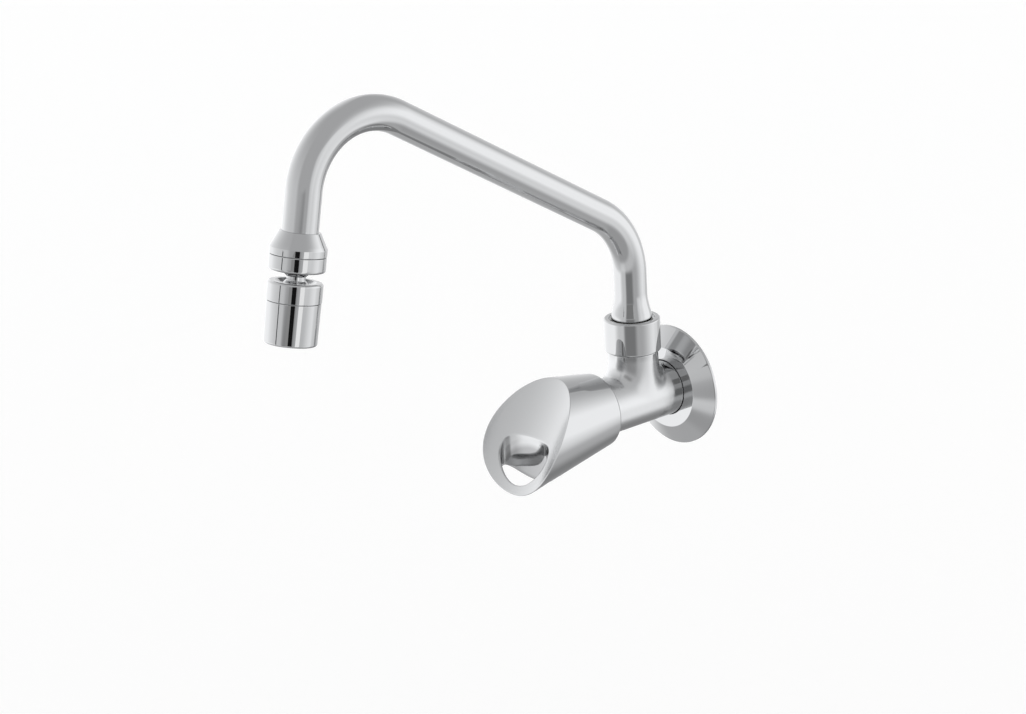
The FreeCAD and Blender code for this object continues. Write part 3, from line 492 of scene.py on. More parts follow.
def knob():
    """Hollow cone, its scooped face and the finger hole that drops through its tip."""
    bm = bmesh.new()
    angles = turn_angles(KNOB_COLUMNS)
    wall_back = KNOB_BACK + 3.0
    back = lathe_rings(KNOB_COLUMNS, [
        (HUB_RADIUS, HUB_BACK - 0.2), (knob_radius(HUB_BACK) - KNOB_WALL, HUB_BACK - 0.2, 1.0),
        (knob_radius(KNOB_BACK) - KNOB_WALL, KNOB_BACK, 0.4),
        (KNOB_BACK_RADIUS, KNOB_BACK, 1.8), (knob_radius(wall_back), wall_back)])
    ring = first_ring(bm, back[0])
    cap(bm, ring)
    rings = grow(bm, ring, back[1:])

    edge = [face_edge(angle) for angle in angles]
    hole_centre = face_under(0, FINGER_HOLE_REACH)
    edge_radius = 0.35
    wall_ends, face_starts, turns = [], [], []
    for angle, corner in zip(angles, edge):
        inward = (hole_centre - corner).normalized() * 0.2
        wall_end, face_start = rounded(corner, cone_place(angle, corner.z - 0.2),
                                       face_place(corner.x + inward.x, corner.y + inward.y),
                                       edge_radius)
        wall_ends.append(wall_end)
        face_starts.append(face_place(face_start.x, face_start.y))
        drop = FINGER_HOLE_HALF_DEPTH / math.tan(KNOB_FACE_TILT)
        turns.append(math.atan2(-(corner.y - hole_centre.y) / drop,
                                corner.x / FINGER_HOLE_HALF_WIDTH))
    wall = [[cone_place(angle, mixed(wall_back, end.z, row / KNOB_ROWS))
             for angle, end in zip(angles, wall_ends)] for row in range(1, KNOB_ROWS + 1)]
    wall_rings = [rings[-1]] + grow(bm, rings[-1], wall)
    ring = grow(bm, wall_rings[-1], corner_rings(wall_ends, edge, face_starts))[-1]

    rim = [face_under(*hole_place(turn)) for turn in turns]
    rim_starts, rim_ends = [], []
    for turn, corner in zip(turns, rim):
        outward = hole_outward(turn)
        rolled = (1 - math.sin(turn)) / 2
        radius = mixed(0.55, 3.2, rolled ** 2)
        start, end = rounded(corner, face_under(corner.x + outward.x, corner.z + outward.y),
                             corner - Vector((0, 1, 0)), radius)
        rim_starts.append(face_place(start.x, start.y))
        rim_ends.append(end)
    face = [[face_place(mixed(start.x, end.x, step / FACE_RINGS),
                        mixed(start.y, end.y, step / FACE_RINGS))
             for start, end in zip(face_starts, rim_starts)] for step in range(FACE_RINGS + 1)]
    ring = grow(bm, ring, face)[-1]
    ring = grow(bm, ring, corner_rings(rim_starts, rim, rim_ends))[-1]

    bottom = KNOB_COLUMNS * 3 // 4
    hole_row = KNOB_ROWS - 2 - HOLE_ROWS
    border = window(bm, wall_rings, hole_row, hole_row + HOLE_ROWS, bottom - HOLE_COLUMNS // 2,
                    bottom + HOLE_COLUMNS // 2)
    spots = [(math.atan2(vert.co.y, vert.co.x), vert.co.z) for vert in border]
    spread = HOLE_EXIT_HALF_WIDTH / FINGER_HOLE_HALF_WIDTH * FINGER_HOLE_HALF_DEPTH
    border_turns = [math.atan2((reach - FINGER_HOLE_REACH) / spread * HOLE_EXIT_TURN,
                               (angle + math.pi / 2)) for angle, reach in spots]
    exit_corners = [underside_place(*hole_place(turn)) for turn in border_turns]
    exit_starts, exit_ends = [], []
    for turn, corner in zip(border_turns, exit_corners):
        outward = hole_outward(turn)
        start, end = rounded(corner, corner + Vector((0, 1, 0)),
                             underside_place(corner.x + outward.x, corner.z + outward.y), 0.5)
        exit_starts.append(start)
        exit_ends.append(underside_place(end.x, end.z))
    end_spots = [(math.atan2(end.y, end.x), end.z) for end in exit_ends]
    patch = [[cone_place(mixed(spot[0], end[0], step / PATCH_RINGS),
                         mixed(spot[1], end[1], step / PATCH_RINGS))
              for spot, end in zip(spots, end_spots)] for step in range(1, PATCH_RINGS + 1)]
    lip = grow(bm, border, patch)[-1]
    lip = grow(bm, lip, corner_rings(exit_ends, exit_corners, exit_starts)
               + [exit_starts])[-1]

    first = nearest_turn(border_turns, turns[0])
    order = [(first - index) % KNOB_COLUMNS for index in range(KNOB_COLUMNS)]
    tunnel = []
    for step in range(TUNNEL_RINGS + 1):
        share = step / TUNNEL_RINGS
        places = []
        for turn, top, match in zip(turns, rim_ends, order):
            change = (border_turns[match] - turn + math.pi) % (2 * math.pi) - math.pi
            across, reach = hole_place(turn + change * share)
            places.append(Vector((across, mixed(top.y, exit_starts[match].y, share), reach)))
        tunnel.append(places)
    tunnel[0] = rim_ends
    tunnel[-1] = [exit_starts[match] for match in order]
    grow(bm, ring, tunnel)
    bmesh.ops.remove_doubles(bm, verts=bm.verts, dist=1e-4)
    return bm


def nearest_turn(turns, wanted):
    gaps = [abs((turn - wanted + math.pi) % (2 * math.pi) - math.pi) for turn in turns]
    return gaps.index(min(gaps))


# ---------------------------------------------------------------- spout tube
TUBE_COLUMNS = 96
BEND_STEP = 2.0


def tube_stations():
    """(centre, heading) all along the tube above its flare."""
    first_centre, second_centre, second_end, seam = spout_route()
    stations = [((0.0, FLARE_TOP + GUARD), 90.0), ((0.0, RISER_TOP - GUARD), 90.0)]
    for centre, radius, heading_in, heading_out in (
            (first_centre, FIRST_BEND_RADIUS, 90.0, RUN_SLOPE),
            (second_centre, SECOND_BEND_RADIUS, RUN_SLOPE, OUTLET_TILT - 90.0)):
        steps = round((heading_in - heading_out) / BEND_STEP)
        begin = ahead(centre, heading_in + 90, radius)
        finish = ahead(centre, heading_out + 90, radius)
        stations.append((ahead(begin, heading_in, -GUARD), heading_in))
        for step in range(steps + 1):
            heading = mixed(heading_in, heading_out, step / steps)
            stations.append((ahead(centre, heading + 90, radius), heading))
        stations.append((ahead(finish, heading_out, GUARD), heading_out))
    stations.append((ahead(seam, OUTLET_TILT - 90, TUBE_SOCKET_DEPTH), OUTLET_TILT - 90.0))
    return stations


def tube_ring(centre, heading, radius):
    """A ring square to the heading, in the frame where the wall is y = 0."""
    slope = math.radians(heading)
    side = Vector((0, math.sin(slope), math.cos(slope)))
    middle = Vector((0, -BRANCH_REACH - centre[0], centre[1]))
    return [middle + (Vector((1, 0, 0)) * math.cos(angle) + side * math.sin(angle)) * radius
            for angle in turn_angles(TUBE_COLUMNS)]


def flare_points(offset):
    """(radius, height) points up the flared foot, moved in by an offset."""
    foot = FLARE_RADIUS - offset
    tube = TUBE_RADIUS - offset
    corners = [(foot, FLARE_BOTTOM), (foot, FLARE_SHOULDER, 13.0), (tube, FLARE_NECK, 30.0),
               (tube, FLARE_TOP)]
    if offset == 0.0:
        corners = [(foot - TUBE_WALL / 2, FLARE_BOTTOM), (foot, FLARE_BOTTOM, 0.45)] + corners[1:]
    return profile(corners, closed=False)


def spout_tube():
    bm = bmesh.new()
    outside = [tube_ring((0.0, point.y), 90.0, point.x) for point in flare_points(0.0)]
    inside = [tube_ring((0.0, point.y), 90.0, point.x) for point in flare_points(TUBE_WALL)]
    stations = tube_stations()
    outside += [tube_ring(centre, heading, TUBE_RADIUS) for centre, heading in stations]
    inside += [tube_ring(centre, heading, TUBE_RADIUS - TUBE_WALL)
               for centre, heading in stations]
    loop = outside + inside[::-1]
    ring = first_ring(bm, loop[0])
    grow(bm, ring, loop[1:] + [loop[0]])
    bmesh.ops.remove_doubles(bm, verts=bm.verts, dist=1e-4)
    return bm


# ---------------------------------------------------------------- turned pieces
def flange():
    hole = BARREL_RADIUS + 0.25
    return turned([
        (FLANGE_RADIUS - FLANGE_SHEET, 0), (FLANGE_RADIUS, 0, 0.2),
        (FLANGE_RADIUS, FLANGE_LIP, 0.5), (FLANGE_FRONT_RADIUS, FLANGE_DEPTH, 0.35),
        (hole, FLANGE_DEPTH, 0.4), (hole, FLANGE_DEPTH - FLANGE_SHEET),
        (FLANGE_FRONT_RADIUS - 0.5, FLANGE_DEPTH - FLANGE_SHEET),
        (FLANGE_RADIUS - FLANGE_SHEET, FLANGE_LIP - 0.4)])


def nut():
    thread = SPIGOT_RADIUS + 0.05
    bottom = BRANCH_TOP + 0.3
    floor = NUT_TOP - NUT_RECESS_DEPTH
    return turned([
        (thread, bottom), (NUT_RADIUS, bottom, 0.7), (NUT_RADIUS, NUT_TOP, 0.8),
        (NUT_RECESS_RADIUS, NUT_TOP, 0.3), (NUT_RECESS_RADIUS, floor, 0.3),
        (NUT_HOLE_RADIUS, floor), (NUT_HOLE_RADIUS, NUT_LIP_BOTTOM),
        (thread + 0.3, NUT_LIP_BOTTOM), (thread + 0.3, SPIGOT_TOP), (thread, SPIGOT_TOP)])


def adapter():
    socket = TUBE_RADIUS + 0.05
    thread = 10.2
    bore = 9.1
    water_way = 6.0
    shelf = 8.0
    return turned([
        (socket, 0.0), (SHOULDER_RADIUS, 0.0, 0.3),
        (AERATOR_RADIUS - 0.5, SHOULDER_HEIGHT - 1.2, 12.0), (AERATOR_RADIUS, SHOULDER_HEIGHT),
        (AERATOR_RADIUS, ADAPTER_HEIGHT, 0.3), (thread, ADAPTER_HEIGHT),
        (thread, BALL_DEPTH - 0.2), (bore, BALL_DEPTH - 0.2), (bore, shelf),
        (water_way, shelf), (water_way, TUBE_SOCKET_DEPTH + 0.1),
        (socket, TUBE_SOCKET_DEPTH + 0.1)])


def ball_arc(radius, first_radius, last_radius):
    """(radius, height) points on a ball, from above its middle to below it."""
    start = -math.acos(first_radius / radius)
    stop = math.acos(last_radius / radius)
    steps = 3 * ARC_STEPS
    return [(radius * math.cos(mixed(start, stop, step / steps)),
             BALL_DEPTH + radius * math.sin(mixed(start, stop, step / steps)))
            for step in range(steps + 1)]


def collar():
    radius = AERATOR_RADIUS - 0.05
    top = ADAPTER_HEIGHT + 0.15
    thread = 10.25
    floor = BALL_DEPTH + 0.1
    cup = BALL_RADIUS + 0.1
    mouth = math.sqrt(cup ** 2 - (COLLAR_BOTTOM - BALL_DEPTH) ** 2)
    brim = math.sqrt(cup ** 2 - 0.1 ** 2)
    lowest = math.acos(brim / cup)
    highest = math.acos(mouth / cup)
    socket = [(cup * math.cos(mixed(highest, lowest, step / ARC_STEPS)),
               BALL_DEPTH + cup * math.sin(mixed(highest, lowest, step / ARC_STEPS)))
              for step in range(ARC_STEPS + 1)]
    return turned([(thread, top), (radius, top, 0.3), (radius, COLLAR_BOTTOM, 1.3)]
                  + socket + [(thread, floor)])


def ball_stem():
    ball = ball_arc(BALL_RADIUS, WATER_WAY_RADIUS, NECK_RADIUS)
    foot = 5.4
    foot_bottom = HEAD_TOP + 1.4
    thread = 4.4
    tip = HEAD_TOP + 5.6
    return turned(ball + [
        (NECK_RADIUS, HEAD_TOP - 0.4, 1.0), (foot, HEAD_TOP + 0.8, 0.2),
        (foot, foot_bottom), (thread, foot_bottom), (thread, tip), (WATER_WAY_RADIUS, tip)])


def aerator_head():
    stem_hole = 4.45
    floor = HEAD_TOP + 1.45
    roof = HEAD_TOP + 4.8
    thread = 10.3
    bore = 9.2
    thread_bottom = HEAD_SEAM + 5.2
    return turned([
        (stem_hole, floor), (7.2, floor, 0.8), (8.8, HEAD_TOP, 0.3),
        (HEAD_RADIUS, HEAD_TOP, 1.1), (HEAD_RADIUS, HEAD_SEAM, 0.3), (thread, HEAD_SEAM),
        (thread, thread_bottom), (bore, thread_bottom), (bore, roof, 1.5), (stem_hole, roof)])


def aerator_sleeve():
    bore = 10.35
    lip_top = SLEEVE_BOTTOM - 1.3
    return turned([
        (bore, HEAD_SEAM + 0.15), (SLEEVE_TOP_RADIUS, HEAD_SEAM + 0.15, 0.25),
        (SLEEVE_BOTTOM_RADIUS, SLEEVE_BOTTOM, 1.0), (MOUTH_RADIUS, SLEEVE_BOTTOM, 0.4),
        (MOUTH_RADIUS, lip_top), (bore, lip_top)])


# ---------------------------------------------------------------- materials
# where the branch's root gets its rougher finish and its painted lighter reflection: starts, is
# full and ends, mm
ROOT_HEIGHTS = (-14.0, -4.0, 20.0, 24.0)
ROOT_REACHES = (10.0, 16.0, 70.0, 71.0)


class Value:
    """A shader value that Python's own operators combine."""

    def __init__(self, tree, socket):
        self.tree = tree
        self.socket = socket

    def math(self, operation, *others):
        node = self.tree.nodes.new("ShaderNodeMath")
        node.operation = operation
        for index, item in enumerate((self,) + others):
            if isinstance(item, Value):
                self.tree.links.new(item.socket, node.inputs[index])
            else:
                node.inputs[index].default_value = item
        return Value(self.tree, node.outputs[0])

    def __add__(self, other):
        return self.math("ADD", other)

    __radd__ = __add__

    def __mul__(self, other):
        return self.math("MULTIPLY", other)

    __rmul__ = __mul__

    def __sub__(self, other):
        return self.math("SUBTRACT", other)

    def __rsub__(self, other):
        return (self * -1.0) + other


class Shading:
    """The nodes of one material or world."""

    def __init__(self, owner):
        owner.use_nodes = True
        self.tree = owner.node_tree

    def node(self, kind, settings=None, wired=(), **inputs):
        """Any node: its settings, then the values or links of its sockets, in order or by name."""
        node = self.tree.nodes.new(kind)
        for setting, value in (settings or {}).items():
            setattr(node, setting, value)
        sockets = list(zip(node.inputs, wired))
        sockets += [(node.inputs[name.replace("_", " ")], value) for name, value in inputs.items()]
        for socket, value in sockets:
            self.set(socket, value)
        return node

    def set(self, socket, value):
        """Links a socket to a value or an output, or writes a plain number or colour in it."""
        if isinstance(value, Value):
            value = value.socket
        if isinstance(value, bpy.types.NodeSocket):
            self.tree.links.new(value, socket)
        else:
            socket.default_value = value

    def value(self, socket):
        return Value(self.tree, socket)

    def mixed_colour(self, share, first, second):
        mix = self.node("ShaderNodeMix", {"data_type": "RGBA"})
        self.set(mix.inputs["Factor"], share)
        self.set(mix.inputs["A"], first)
        self.set(mix.inputs["B"], second)
        return mix.outputs["Result"]

    def mixed_shader(self, share, first, second):
        return self.node("ShaderNodeMixShader", wired=(share, first, second)).outputs[0]

    def rise(self, value, start, end):
        """0 before start, 1 after end, an even curve between them; start may be the larger."""
        made = self.node("ShaderNodeMapRange", {"interpolation_type": "SMOOTHSTEP"}, Value=value,
                         From_Min=min(start, end), From_Max=max(start, end))
        made.inputs["To Min"].default_value = 0.0 if start < end else 1.0
        made.inputs["To Max"].default_value = 1.0 if start < end else 0.0
        return self.value(made.outputs["Result"])

    def hump(self, value, start, full_start, full_end, end):
        return self.rise(value, start, full_start) * self.rise(value, end, full_end)


class Finish(Shading):
    """A Principled surface and the nodes that feed it."""

    def __init__(self, name, **uniform):
        self.material = bpy.data.materials.new(name)
        super().__init__(self.material)
        self.surface = self.tree.nodes["Principled BSDF"]
        for socket, value in uniform.items():
            self.surface.inputs[socket.replace("_", " ")].default_value = value

    def noise(self, scale, detail=3.0):
        spot = self.node("ShaderNodeTexCoord").outputs["Object"]
        made = self.node("ShaderNodeTexNoise", Vector=spot, Scale=scale, Detail=detail)
        return self.value(made.outputs["Fac"])

    def place(self):
        """(across, reach out from the wall, height), in mm."""
        spot = self.node("ShaderNodeTexCoord").outputs["Object"]
        parts = self.node("ShaderNodeSeparateXYZ", Vector=spot).outputs
        return (self.value(parts["X"]) * (1.0 / MM), self.value(parts["Y"]) * (-1.0 / MM),
                self.value(parts["Z"]) * (1.0 / MM))

    def near_root(self):
        """1 in the corner between barrel and branch: rougher where the polishing wheel hardly
        gets, and painted lighter as a painted reflection.
        """
        _, reach, height = self.place()
        return self.hump(height, *ROOT_HEIGHTS) * self.hump(reach, *ROOT_REACHES)

    def inside_knob(self):
        """(how far on the hollowed face, how far down the finger hole), each 0 to 1."""
        across, reach, height = self.place()
        radius = (across * across + height * height).math("SQRT")
        depth_in_cone = (reach - KNOB_BACK) * KNOB_FLARE + KNOB_BACK_RADIUS - radius
        in_front = ((reach - KNOB_FACE_REACH) * math.cos(KNOB_FACE_TILT)
                    + height * math.sin(KNOB_FACE_TILT))
        inside = self.rise(depth_in_cone, 0.1, 0.5)
        return (inside * self.rise(in_front, -0.8, -0.1),
                inside * self.rise(in_front, -1.5, -3.5))

    def feed(self, socket, value):
        self.tree.links.new(value.socket, self.surface.inputs[socket])

    def bump(self, height, strength, distance):
        made = self.node("ShaderNodeBump", Height=height, Strength=strength, Distance=distance)
        self.tree.links.new(made.outputs["Normal"], self.surface.inputs["Normal"])


CHROME_TONE = 0.62
# painted reflection: a lighter base colour for the branch's root
ROOT_PAINTED_LIGHT_TONE = 0.71
# painted reflection: a lighter base colour for the knob's hollowed face
KNOB_FACE_PAINTED_LIGHT_TONE = 0.66
# painted shade: a darker base colour down the finger hole
FINGER_HOLE_PAINTED_SHADE_TONE = 0.40


def plating(tone):
    return (tone, tone * 1.006, tone * 1.012, 1.0)


def chrome(name, roughness, waviness, soft_and_painted_light_root=False):
    """Polished plating: faint polishing haze, and the slow waves of the metal under it.

    The root of the branch, which the wheel hardly reaches, is rougher; its base colour is painted
    lighter there, a painted reflection.
    """
    finish = Finish(name, Metallic=1.0, Base_Color=plating(CHROME_TONE))
    haze = finish.noise(55.0, 4.0) * 0.03 + (roughness - 0.015)
    if soft_and_painted_light_root:
        root = finish.near_root()
        haze = haze + root * 0.2
        # painted reflection: the root's base colour mixes towards a lighter tone
        finish.set(finish.surface.inputs["Base Color"],
                   finish.mixed_colour(root, plating(CHROME_TONE), plating(ROOT_PAINTED_LIGHT_TONE)))
    finish.feed("Roughness", haze)
    if waviness:
        finish.bump(finish.noise(38.0, 1.0), 1.0, waviness * MM)
    return finish.material


def knob_chrome(name):
    """Bright cone, satin face with a painted lighter reflection, painted shade down the finger
    hole.
    """
    finish = Finish(name, Metallic=1.0)
    face, hole = finish.inside_knob()
    # painted shade: the base colour darkens down the finger hole
    outside = finish.mixed_colour(hole, plating(CHROME_TONE), plating(FINGER_HOLE_PAINTED_SHADE_TONE))
    # painted reflection: the hollowed face gets a lighter base colour
    finish.set(finish.surface.inputs["Base Color"],
               finish.mixed_colour(face, outside, plating(KNOB_FACE_PAINTED_LIGHT_TONE)))
    finish.feed("Roughness", finish.noise(55.0, 4.0) * 0.03 + face * 0.16 + 0.045)
    return finish.material


def plain(name, colour, roughness, grain, **uniform):
    """A matt or moulded finish with a fine grain and slight changes of tone."""
    finish = Finish(name, Specular_IOR_Level=0.5, **uniform)
    tone = finish.noise(90.0, 4.0)
    dark = tuple(channel * 0.86 for channel in colour)
    toned = finish.mixed_colour(tone, dark + (1.0,), colour + (1.0,))
    finish.tree.links.new(toned, finish.surface.inputs["Base Color"])
    finish.feed("Roughness", tone * 0.14 + (roughness - 0.07))
    finish.bump(finish.noise(2600.0, 3.0), 0.4, grain * MM)
    return finish.material


MATERIALS = {
    "chrome_cast": chrome("chrome_cast", 0.05, 0.02, soft_and_painted_light_root=True),
    "chrome_sheet": chrome("chrome_sheet", 0.035, 0.0),
    "chrome_tube": chrome("chrome_tube", 0.06, 0.008),
    "chrome_turned": chrome("chrome_turned", 0.035, 0.0),
    "chrome_knob": knob_chrome("chrome_knob"),
    "brass": plain("brass", (0.78, 0.60, 0.30), 0.32, 0.01, Metallic=1.0),
    "black_rubber": plain("black_rubber", (0.025, 0.025, 0.027), 0.75, 0.02),
    "white_acetal": plain("white_acetal", (0.80, 0.79, 0.75), 0.45, 0.01),
    "grey_plastic": plain("grey_plastic", (0.42, 0.44, 0.46), 0.5, 0.015),
    "stainless_steel": plain("stainless_steel", (0.66, 0.66, 0.65), 0.34, 0.01, Metallic=1.0),
    "alumina": plain("alumina", (0.86, 0.85, 0.82), 0.3, 0.005),
}


# ---------------------------------------------------------------- put every piece in place
def fit(bm, name, body, slot, where, nodes=()):
    """Makes a skin a piece: outward, smooth with crisp corners, in metres, on its body."""
    bmesh.ops.recalc_face_normals(bm, faces=bm.faces)
    for face in bm.faces:
        face.smooth = True
    for edge in bm.edges:
        edge.smooth = edge.calc_face_angle(0.0) < SHARP_ANGLE
    bm.transform(Matrix.Scale(MM, 4) @ where)
    mesh = bpy.data.meshes.new(name)
    bm.to_mesh(mesh)
    bm.free()
    mesh.materials.append(MATERIALS[slot])
    piece = bpy.data.objects.new(name, mesh)
    bpy.context.scene.collection.objects.link(piece)
    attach(piece, body)
    if nodes:
        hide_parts(*nodes)


for entry in frame["record"]["subparts"]:
    node = frame["nodes"][entry["node"]]
    node.data.materials.clear()
    node.data.materials.append(MATERIALS[entry["material_slot"]])

fit(tap_barrel(), "tap_barrel", "tap_body", "chrome_cast", ON_BARREL, ["valve_body"])
fit(inlet_thread(), "inlet_thread", "tap_body", "brass", ON_BARREL)
fit(flange(), "flange_cover", "tap_body", "chrome_sheet", ON_BARREL, ["wall_flange"])
fit(nut(), "round_nut", "tap_body", "chrome_turned", ON_BRANCH, ["spout_nut"])
fit(knob(), "scooped_knob", "handle", "chrome_knob", ON_BARREL, ["handle_knob"])
fit(spout_tube(), "bent_tube", "spout", "chrome_tube", Matrix.Identity(4), ["spout_tube"])
fit(adapter(), "outlet_shoulder", "spout", "chrome_turned", ON_OUTLET, ["outlet_adapter"])
fit(collar(), "swivel_ring", "spout", "chrome_turned", ON_OUTLET, ["swivel_collar"])
fit(ball_stem(), "swivel_stem", "aerator", "chrome_turned", ON_OUTLET, ["ball_stem"])
fit(aerator_head(), "dished_head", "aerator", "chrome_turned", ON_OUTLET, ["aerator_head"])
fit(aerator_sleeve(), "lower_sleeve", "aerator", "chrome_turned", ON_OUTLET, ["aerator_sleeve"])

# ---------------------------------------------------------------- camera
CAMERA_AZIMUTH = math.radians(50.96)
CAMERA_ELEVATION = math.radians(17.862)
CAMERA_ROLL = math.radians(-3.21)
CAMERA_PLACE = Vector((0.75174, -0.71152, 0.35101))
CAMERA_LENS = 77.14

camera_data = bpy.data.cameras.new("camera")
camera_data.lens = CAMERA_LENS
camera_data.sensor_width = 36.0
camera = bpy.data.objects.new("camera", camera_data)
bpy.context.scene.collection.objects.link(camera)
bpy.context.scene.camera = camera
right = Vector((math.cos(CAMERA_AZIMUTH), math.sin(CAMERA_AZIMUTH), 0))
back = Vector((math.sin(CAMERA_AZIMUTH) * math.cos(CAMERA_ELEVATION),
               -math.cos(CAMERA_AZIMUTH) * math.cos(CAMERA_ELEVATION),
               math.sin(CAMERA_ELEVATION)))
up = back.cross(right)
rolled_right = right * math.cos(CAMERA_ROLL) + up * math.sin(CAMERA_ROLL)
rolled_up = up * math.cos(CAMERA_ROLL) - right * math.sin(CAMERA_ROLL)
camera.matrix_world = Matrix.Translation(CAMERA_PLACE) @ Matrix(
    (rolled_right, rolled_up, back)).transposed().to_4x4()

# ---------------------------------------------------------------- light and background
FLOOR_HEIGHT = -0.30
FLOOR_WIDTH = 8.0
FLOOR_TONE = 0.9
CAMERA_SIDE = math.degrees(CAMERA_AZIMUTH) - 90.0
DEGREES_PER_RADIAN = 57.2958
PLAIN_LEVEL = 0.95
WALL_GREY = 0.385
PANEL_LEVEL = 0.90
# the most that any panel shines, so that plating which mirrors it stays short of white
PANEL_PEAK = 1.32
CARDS_PLACE = Vector((58.5, -275.6, 0.0))
CARDS_AIM = Vector((-14.0, -27.0, 0.0))
CARDS_BOTTOM = 55.0
CARDS_TOP = 118.5
CARDS_LEAN = -0.27
# near and far edge along the row of cards, and how bright the card shines
CARDS = {"white_card": (-57.0, -43.0, 1.20), "black_card": (-27.0, 8.0, 0.01),
         "grey_card": (8.0, 75.0, 0.36)}
SEAM_STRIP_PLACE = Vector((-5.0, -298.0, 0.0))
SEAM_STRIP_WIDTH = 5.0
SEAM_STRIP_TOP = 122.0
SEAM_STRIP_LEVEL = 0.05
RISER_CARD_PLACE = Vector((92.0, -145.0, 0.0))
RISER_CARD_WIDTH = 112.0
RISER_CARD_HEIGHTS = (48.0, 100.0)
RISER_CARD_LEVEL = 0.27


def studio_panels(sky):
    """What polished metal mirrors: a grey room, tall soft panels and one dark screen.

    Directions are degrees round the object, 0 towards the photograph's side, and degrees up.
    Each panel's numbers are where its soft edges start and end, and then how bright it is.
    """
    ray = sky.node("ShaderNodeTexCoord").outputs["Generated"]
    turned_ray = sky.node("ShaderNodeVectorRotate", {"rotation_type": "Z_AXIS"}, Vector=ray,
                          Angle=math.radians(-CAMERA_SIDE)).outputs["Vector"]
    parts = sky.node("ShaderNodeSeparateXYZ", Vector=turned_ray).outputs
    round_about = sky.value(parts["Y"]).math("ARCTAN2", sky.value(parts["X"])) * DEGREES_PER_RADIAN
    height = sky.value(parts["Z"]).math("ARCSINE") * DEGREES_PER_RADIAN
    away = round_about.math("ABSOLUTE")

    left_wall = (sky.rise(height, 80, -5) * sky.rise(height, -48, -18)
                 * (sky.rise(round_about, -24, -46) * 0.17
                    + sky.rise(round_about, -45, -165) * 0.36)
                 * (1.0 - sky.rise(away, 163, 180) * 0.6))
    left_strip = (sky.hump(height, -27, -17, -11, 3) * sky.hump(round_about, -170, -150, -84, -58)
                  * 0.27)
    right_wall = (sky.rise(round_about, 32, 96) * sky.rise(round_about, 142, 110)
                  * (sky.hump(height, -56, -37, -10, 56) * 0.40
                     + sky.hump(height, -22, 2, 10, 38) * 0.24))
    right_foot = sky.rise(round_about, 92, 108) * sky.rise(height, -10, -36) * 0.48
    side_strip = sky.hump(round_about, 30, 42, 52, 70) * sky.hump(height, -16, -9, 10, 18) * 0.18
    back_wall = sky.rise(away, 125, 145) * sky.hump(height, -45, -15, -5, 40)
    back_wall = back_wall * sky.rise(round_about, -10, 10) * 0.22
    screen = sky.hump(round_about, -41, -30, 3, 22) * sky.hump(height, -25, -18, -4, 4)
    near_side = sky.rise(away, 80, 55)
    low_band = (sky.hump(height, -41, -33, -28, -20) * 0.12 - sky.rise(height, -34, -44) * 0.06)
    level = (left_wall + left_strip + right_wall + back_wall + side_strip
             + low_band * near_side + WALL_GREY)
    level = level * (1.0 - screen * 0.52) * (1.0 - right_foot) * (PANEL_LEVEL / CHROME_TONE)
    return level.math("MINIMUM", PANEL_PEAK)


def floor_finish():
    """Pale matt paper, lifted to white for the eye; open to mirrors and from below."""
    material = bpy.data.materials.new("pale paper")
    paper = Shading(material)
    paper.tree.nodes.clear()
    matt = paper.node("ShaderNodeBsdfDiffuse", Color=(FLOOR_TONE, FLOOR_TONE, FLOOR_TONE, 1.0),
                      Roughness=1.0).outputs[0]
    rays = paper.node("ShaderNodeLightPath").outputs
    lift = paper.value(rays["Is Camera Ray"]) * (1.0 - FLOOR_TONE * PLAIN_LEVEL)
    glow = paper.node("ShaderNodeEmission", Color=(1.0, 1.0, 1.0, 1.0), Strength=lift).outputs[0]
    sheet = paper.node("ShaderNodeAddShader", wired=(matt, glow)).outputs[0]
    below = paper.value(paper.node("ShaderNodeNewGeometry").outputs["Backfacing"])
    opening = paper.value(rays["Is Glossy Ray"]).math("MAXIMUM", below)
    clear = paper.node("ShaderNodeBsdfTransparent").outputs[0]
    paper.node("ShaderNodeOutputMaterial", Surface=paper.mixed_shader(opening, sheet, clear))
    return material


def card_finish(name, level):
    """A card that only polished metal sees, and only from its front."""
    material = bpy.data.materials.new(name)
    card = Shading(material)
    card.tree.nodes.clear()
    glow = card.node("ShaderNodeEmission", Color=(1.0, 1.0, 1.0, 1.0), Strength=level).outputs[0]
    clear = card.node("ShaderNodeBsdfTransparent").outputs[0]
    mirrored = card.value(card.node("ShaderNodeLightPath").outputs["Is Glossy Ray"])
    front = 1.0 - card.value(card.node("ShaderNodeNewGeometry").outputs["Backfacing"])
    card.node("ShaderNodeOutputMaterial",
              Surface=card.mixed_shader(mirrored * front, clear, glow))
    return material


def studio_sheet(name, width, height, place, material):
    """A flat sheet of the studio, no part of the tap."""
    bm = bmesh.new()
    bmesh.ops.create_grid(bm, x_segments=1, y_segments=1, size=0.5)
    bm.transform(place @ Matrix.Diagonal((width, height, 1.0, 1.0)))
    mesh = bpy.data.meshes.new(name)
    bm.to_mesh(mesh)
    bm.free()
    mesh.materials.append(material)
    sheet = bpy.data.objects.new(name, mesh)
    bpy.context.scene.collection.objects.link(sheet)


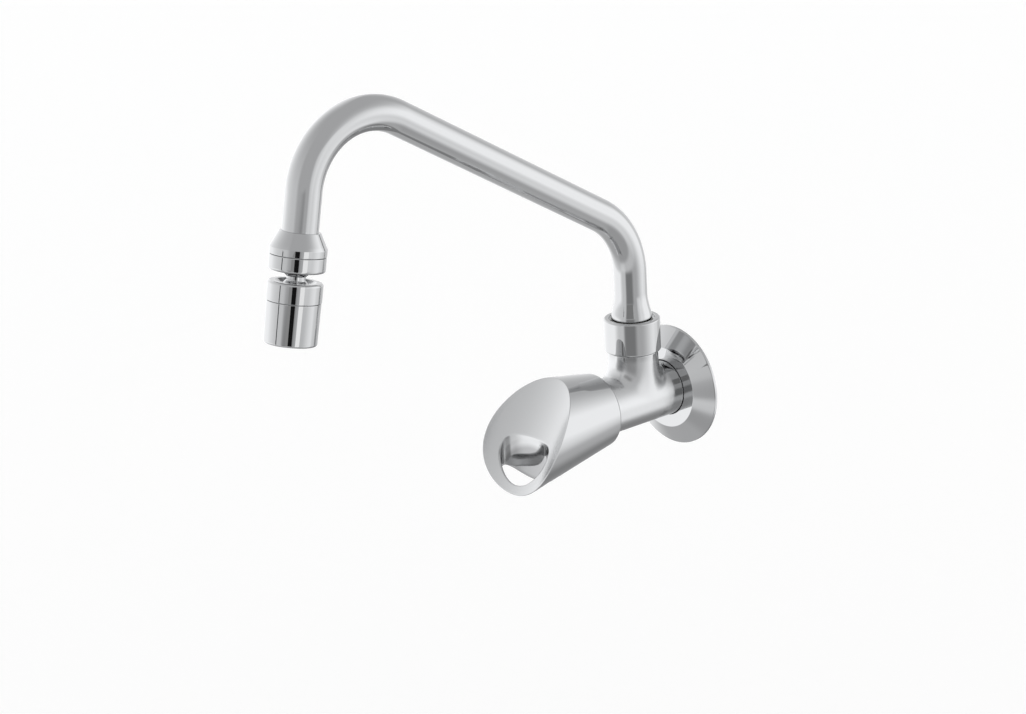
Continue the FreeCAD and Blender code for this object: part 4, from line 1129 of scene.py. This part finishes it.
def standing_card(name, place, turn, span, heights, level, lean=0.0):
    """An upright card: its span along its own line from a place, and what heights it covers."""
    near, far = span
    bottom, top = heights
    leaning = Matrix.Identity(4)
    leaning[0][1] = lean
    middle = Vector((place.x, place.y, (bottom + top) / 2))
    studio_sheet(name, (far - near) * MM, (top - bottom) * MM,
                 Matrix.Translation(middle * MM) @ Matrix.Rotation(turn, 4, "Z")
                 @ Matrix.Rotation(math.pi / 2, 4, "X") @ leaning
                 @ Matrix.Translation(((near + far) / 2 * MM, 0, 0)), card_finish(name, level))


world = bpy.data.worlds.new("studio")
bpy.context.scene.world = world
sky = Shading(world)
mirrored = sky.node("ShaderNodeBackground", Color=(0.985, 0.99, 1.0, 1.0),
                    Strength=studio_panels(sky)).outputs[0]
plain_light = sky.node("ShaderNodeBackground", Color=(1, 1, 1, 1),
                       Strength=PLAIN_LEVEL).outputs[0]
paper = sky.node("ShaderNodeBackground", Color=(1, 1, 1, 1), Strength=1.0).outputs[0]
rays = sky.node("ShaderNodeLightPath").outputs
lit = sky.mixed_shader(rays["Is Glossy Ray"], plain_light, mirrored)
seen = sky.mixed_shader(rays["Is Camera Ray"], lit, paper)
sky.tree.links.new(seen, sky.tree.nodes["World Output"].inputs[0])

studio_sheet("floor", FLOOR_WIDTH, FLOOR_WIDTH, Matrix.Translation((0, 0, FLOOR_HEIGHT)),
             floor_finish())

cards_line = CARDS_PLACE - CARDS_AIM
for name, (near, far, level) in CARDS.items():
    standing_card(name, CARDS_PLACE, math.atan2(cards_line.y, cards_line.x), (near, far),
                  (CARDS_BOTTOM, CARDS_TOP), level, CARDS_LEAN)
standing_card("seam_strip", SEAM_STRIP_PLACE, math.pi,
              (-SEAM_STRIP_WIDTH / 2, SEAM_STRIP_WIDTH / 2), (CARDS_BOTTOM, SEAM_STRIP_TOP),
              SEAM_STRIP_LEVEL)
to_riser = math.atan2(-BRANCH_REACH - RISER_CARD_PLACE.y, -RISER_CARD_PLACE.x)
standing_card("riser_card", RISER_CARD_PLACE, to_riser + math.pi / 2,
              (-RISER_CARD_WIDTH / 2, RISER_CARD_WIDTH / 2), RISER_CARD_HEIGHTS,
              RISER_CARD_LEVEL)

bpy.context.scene.view_settings.view_transform = "Standard"
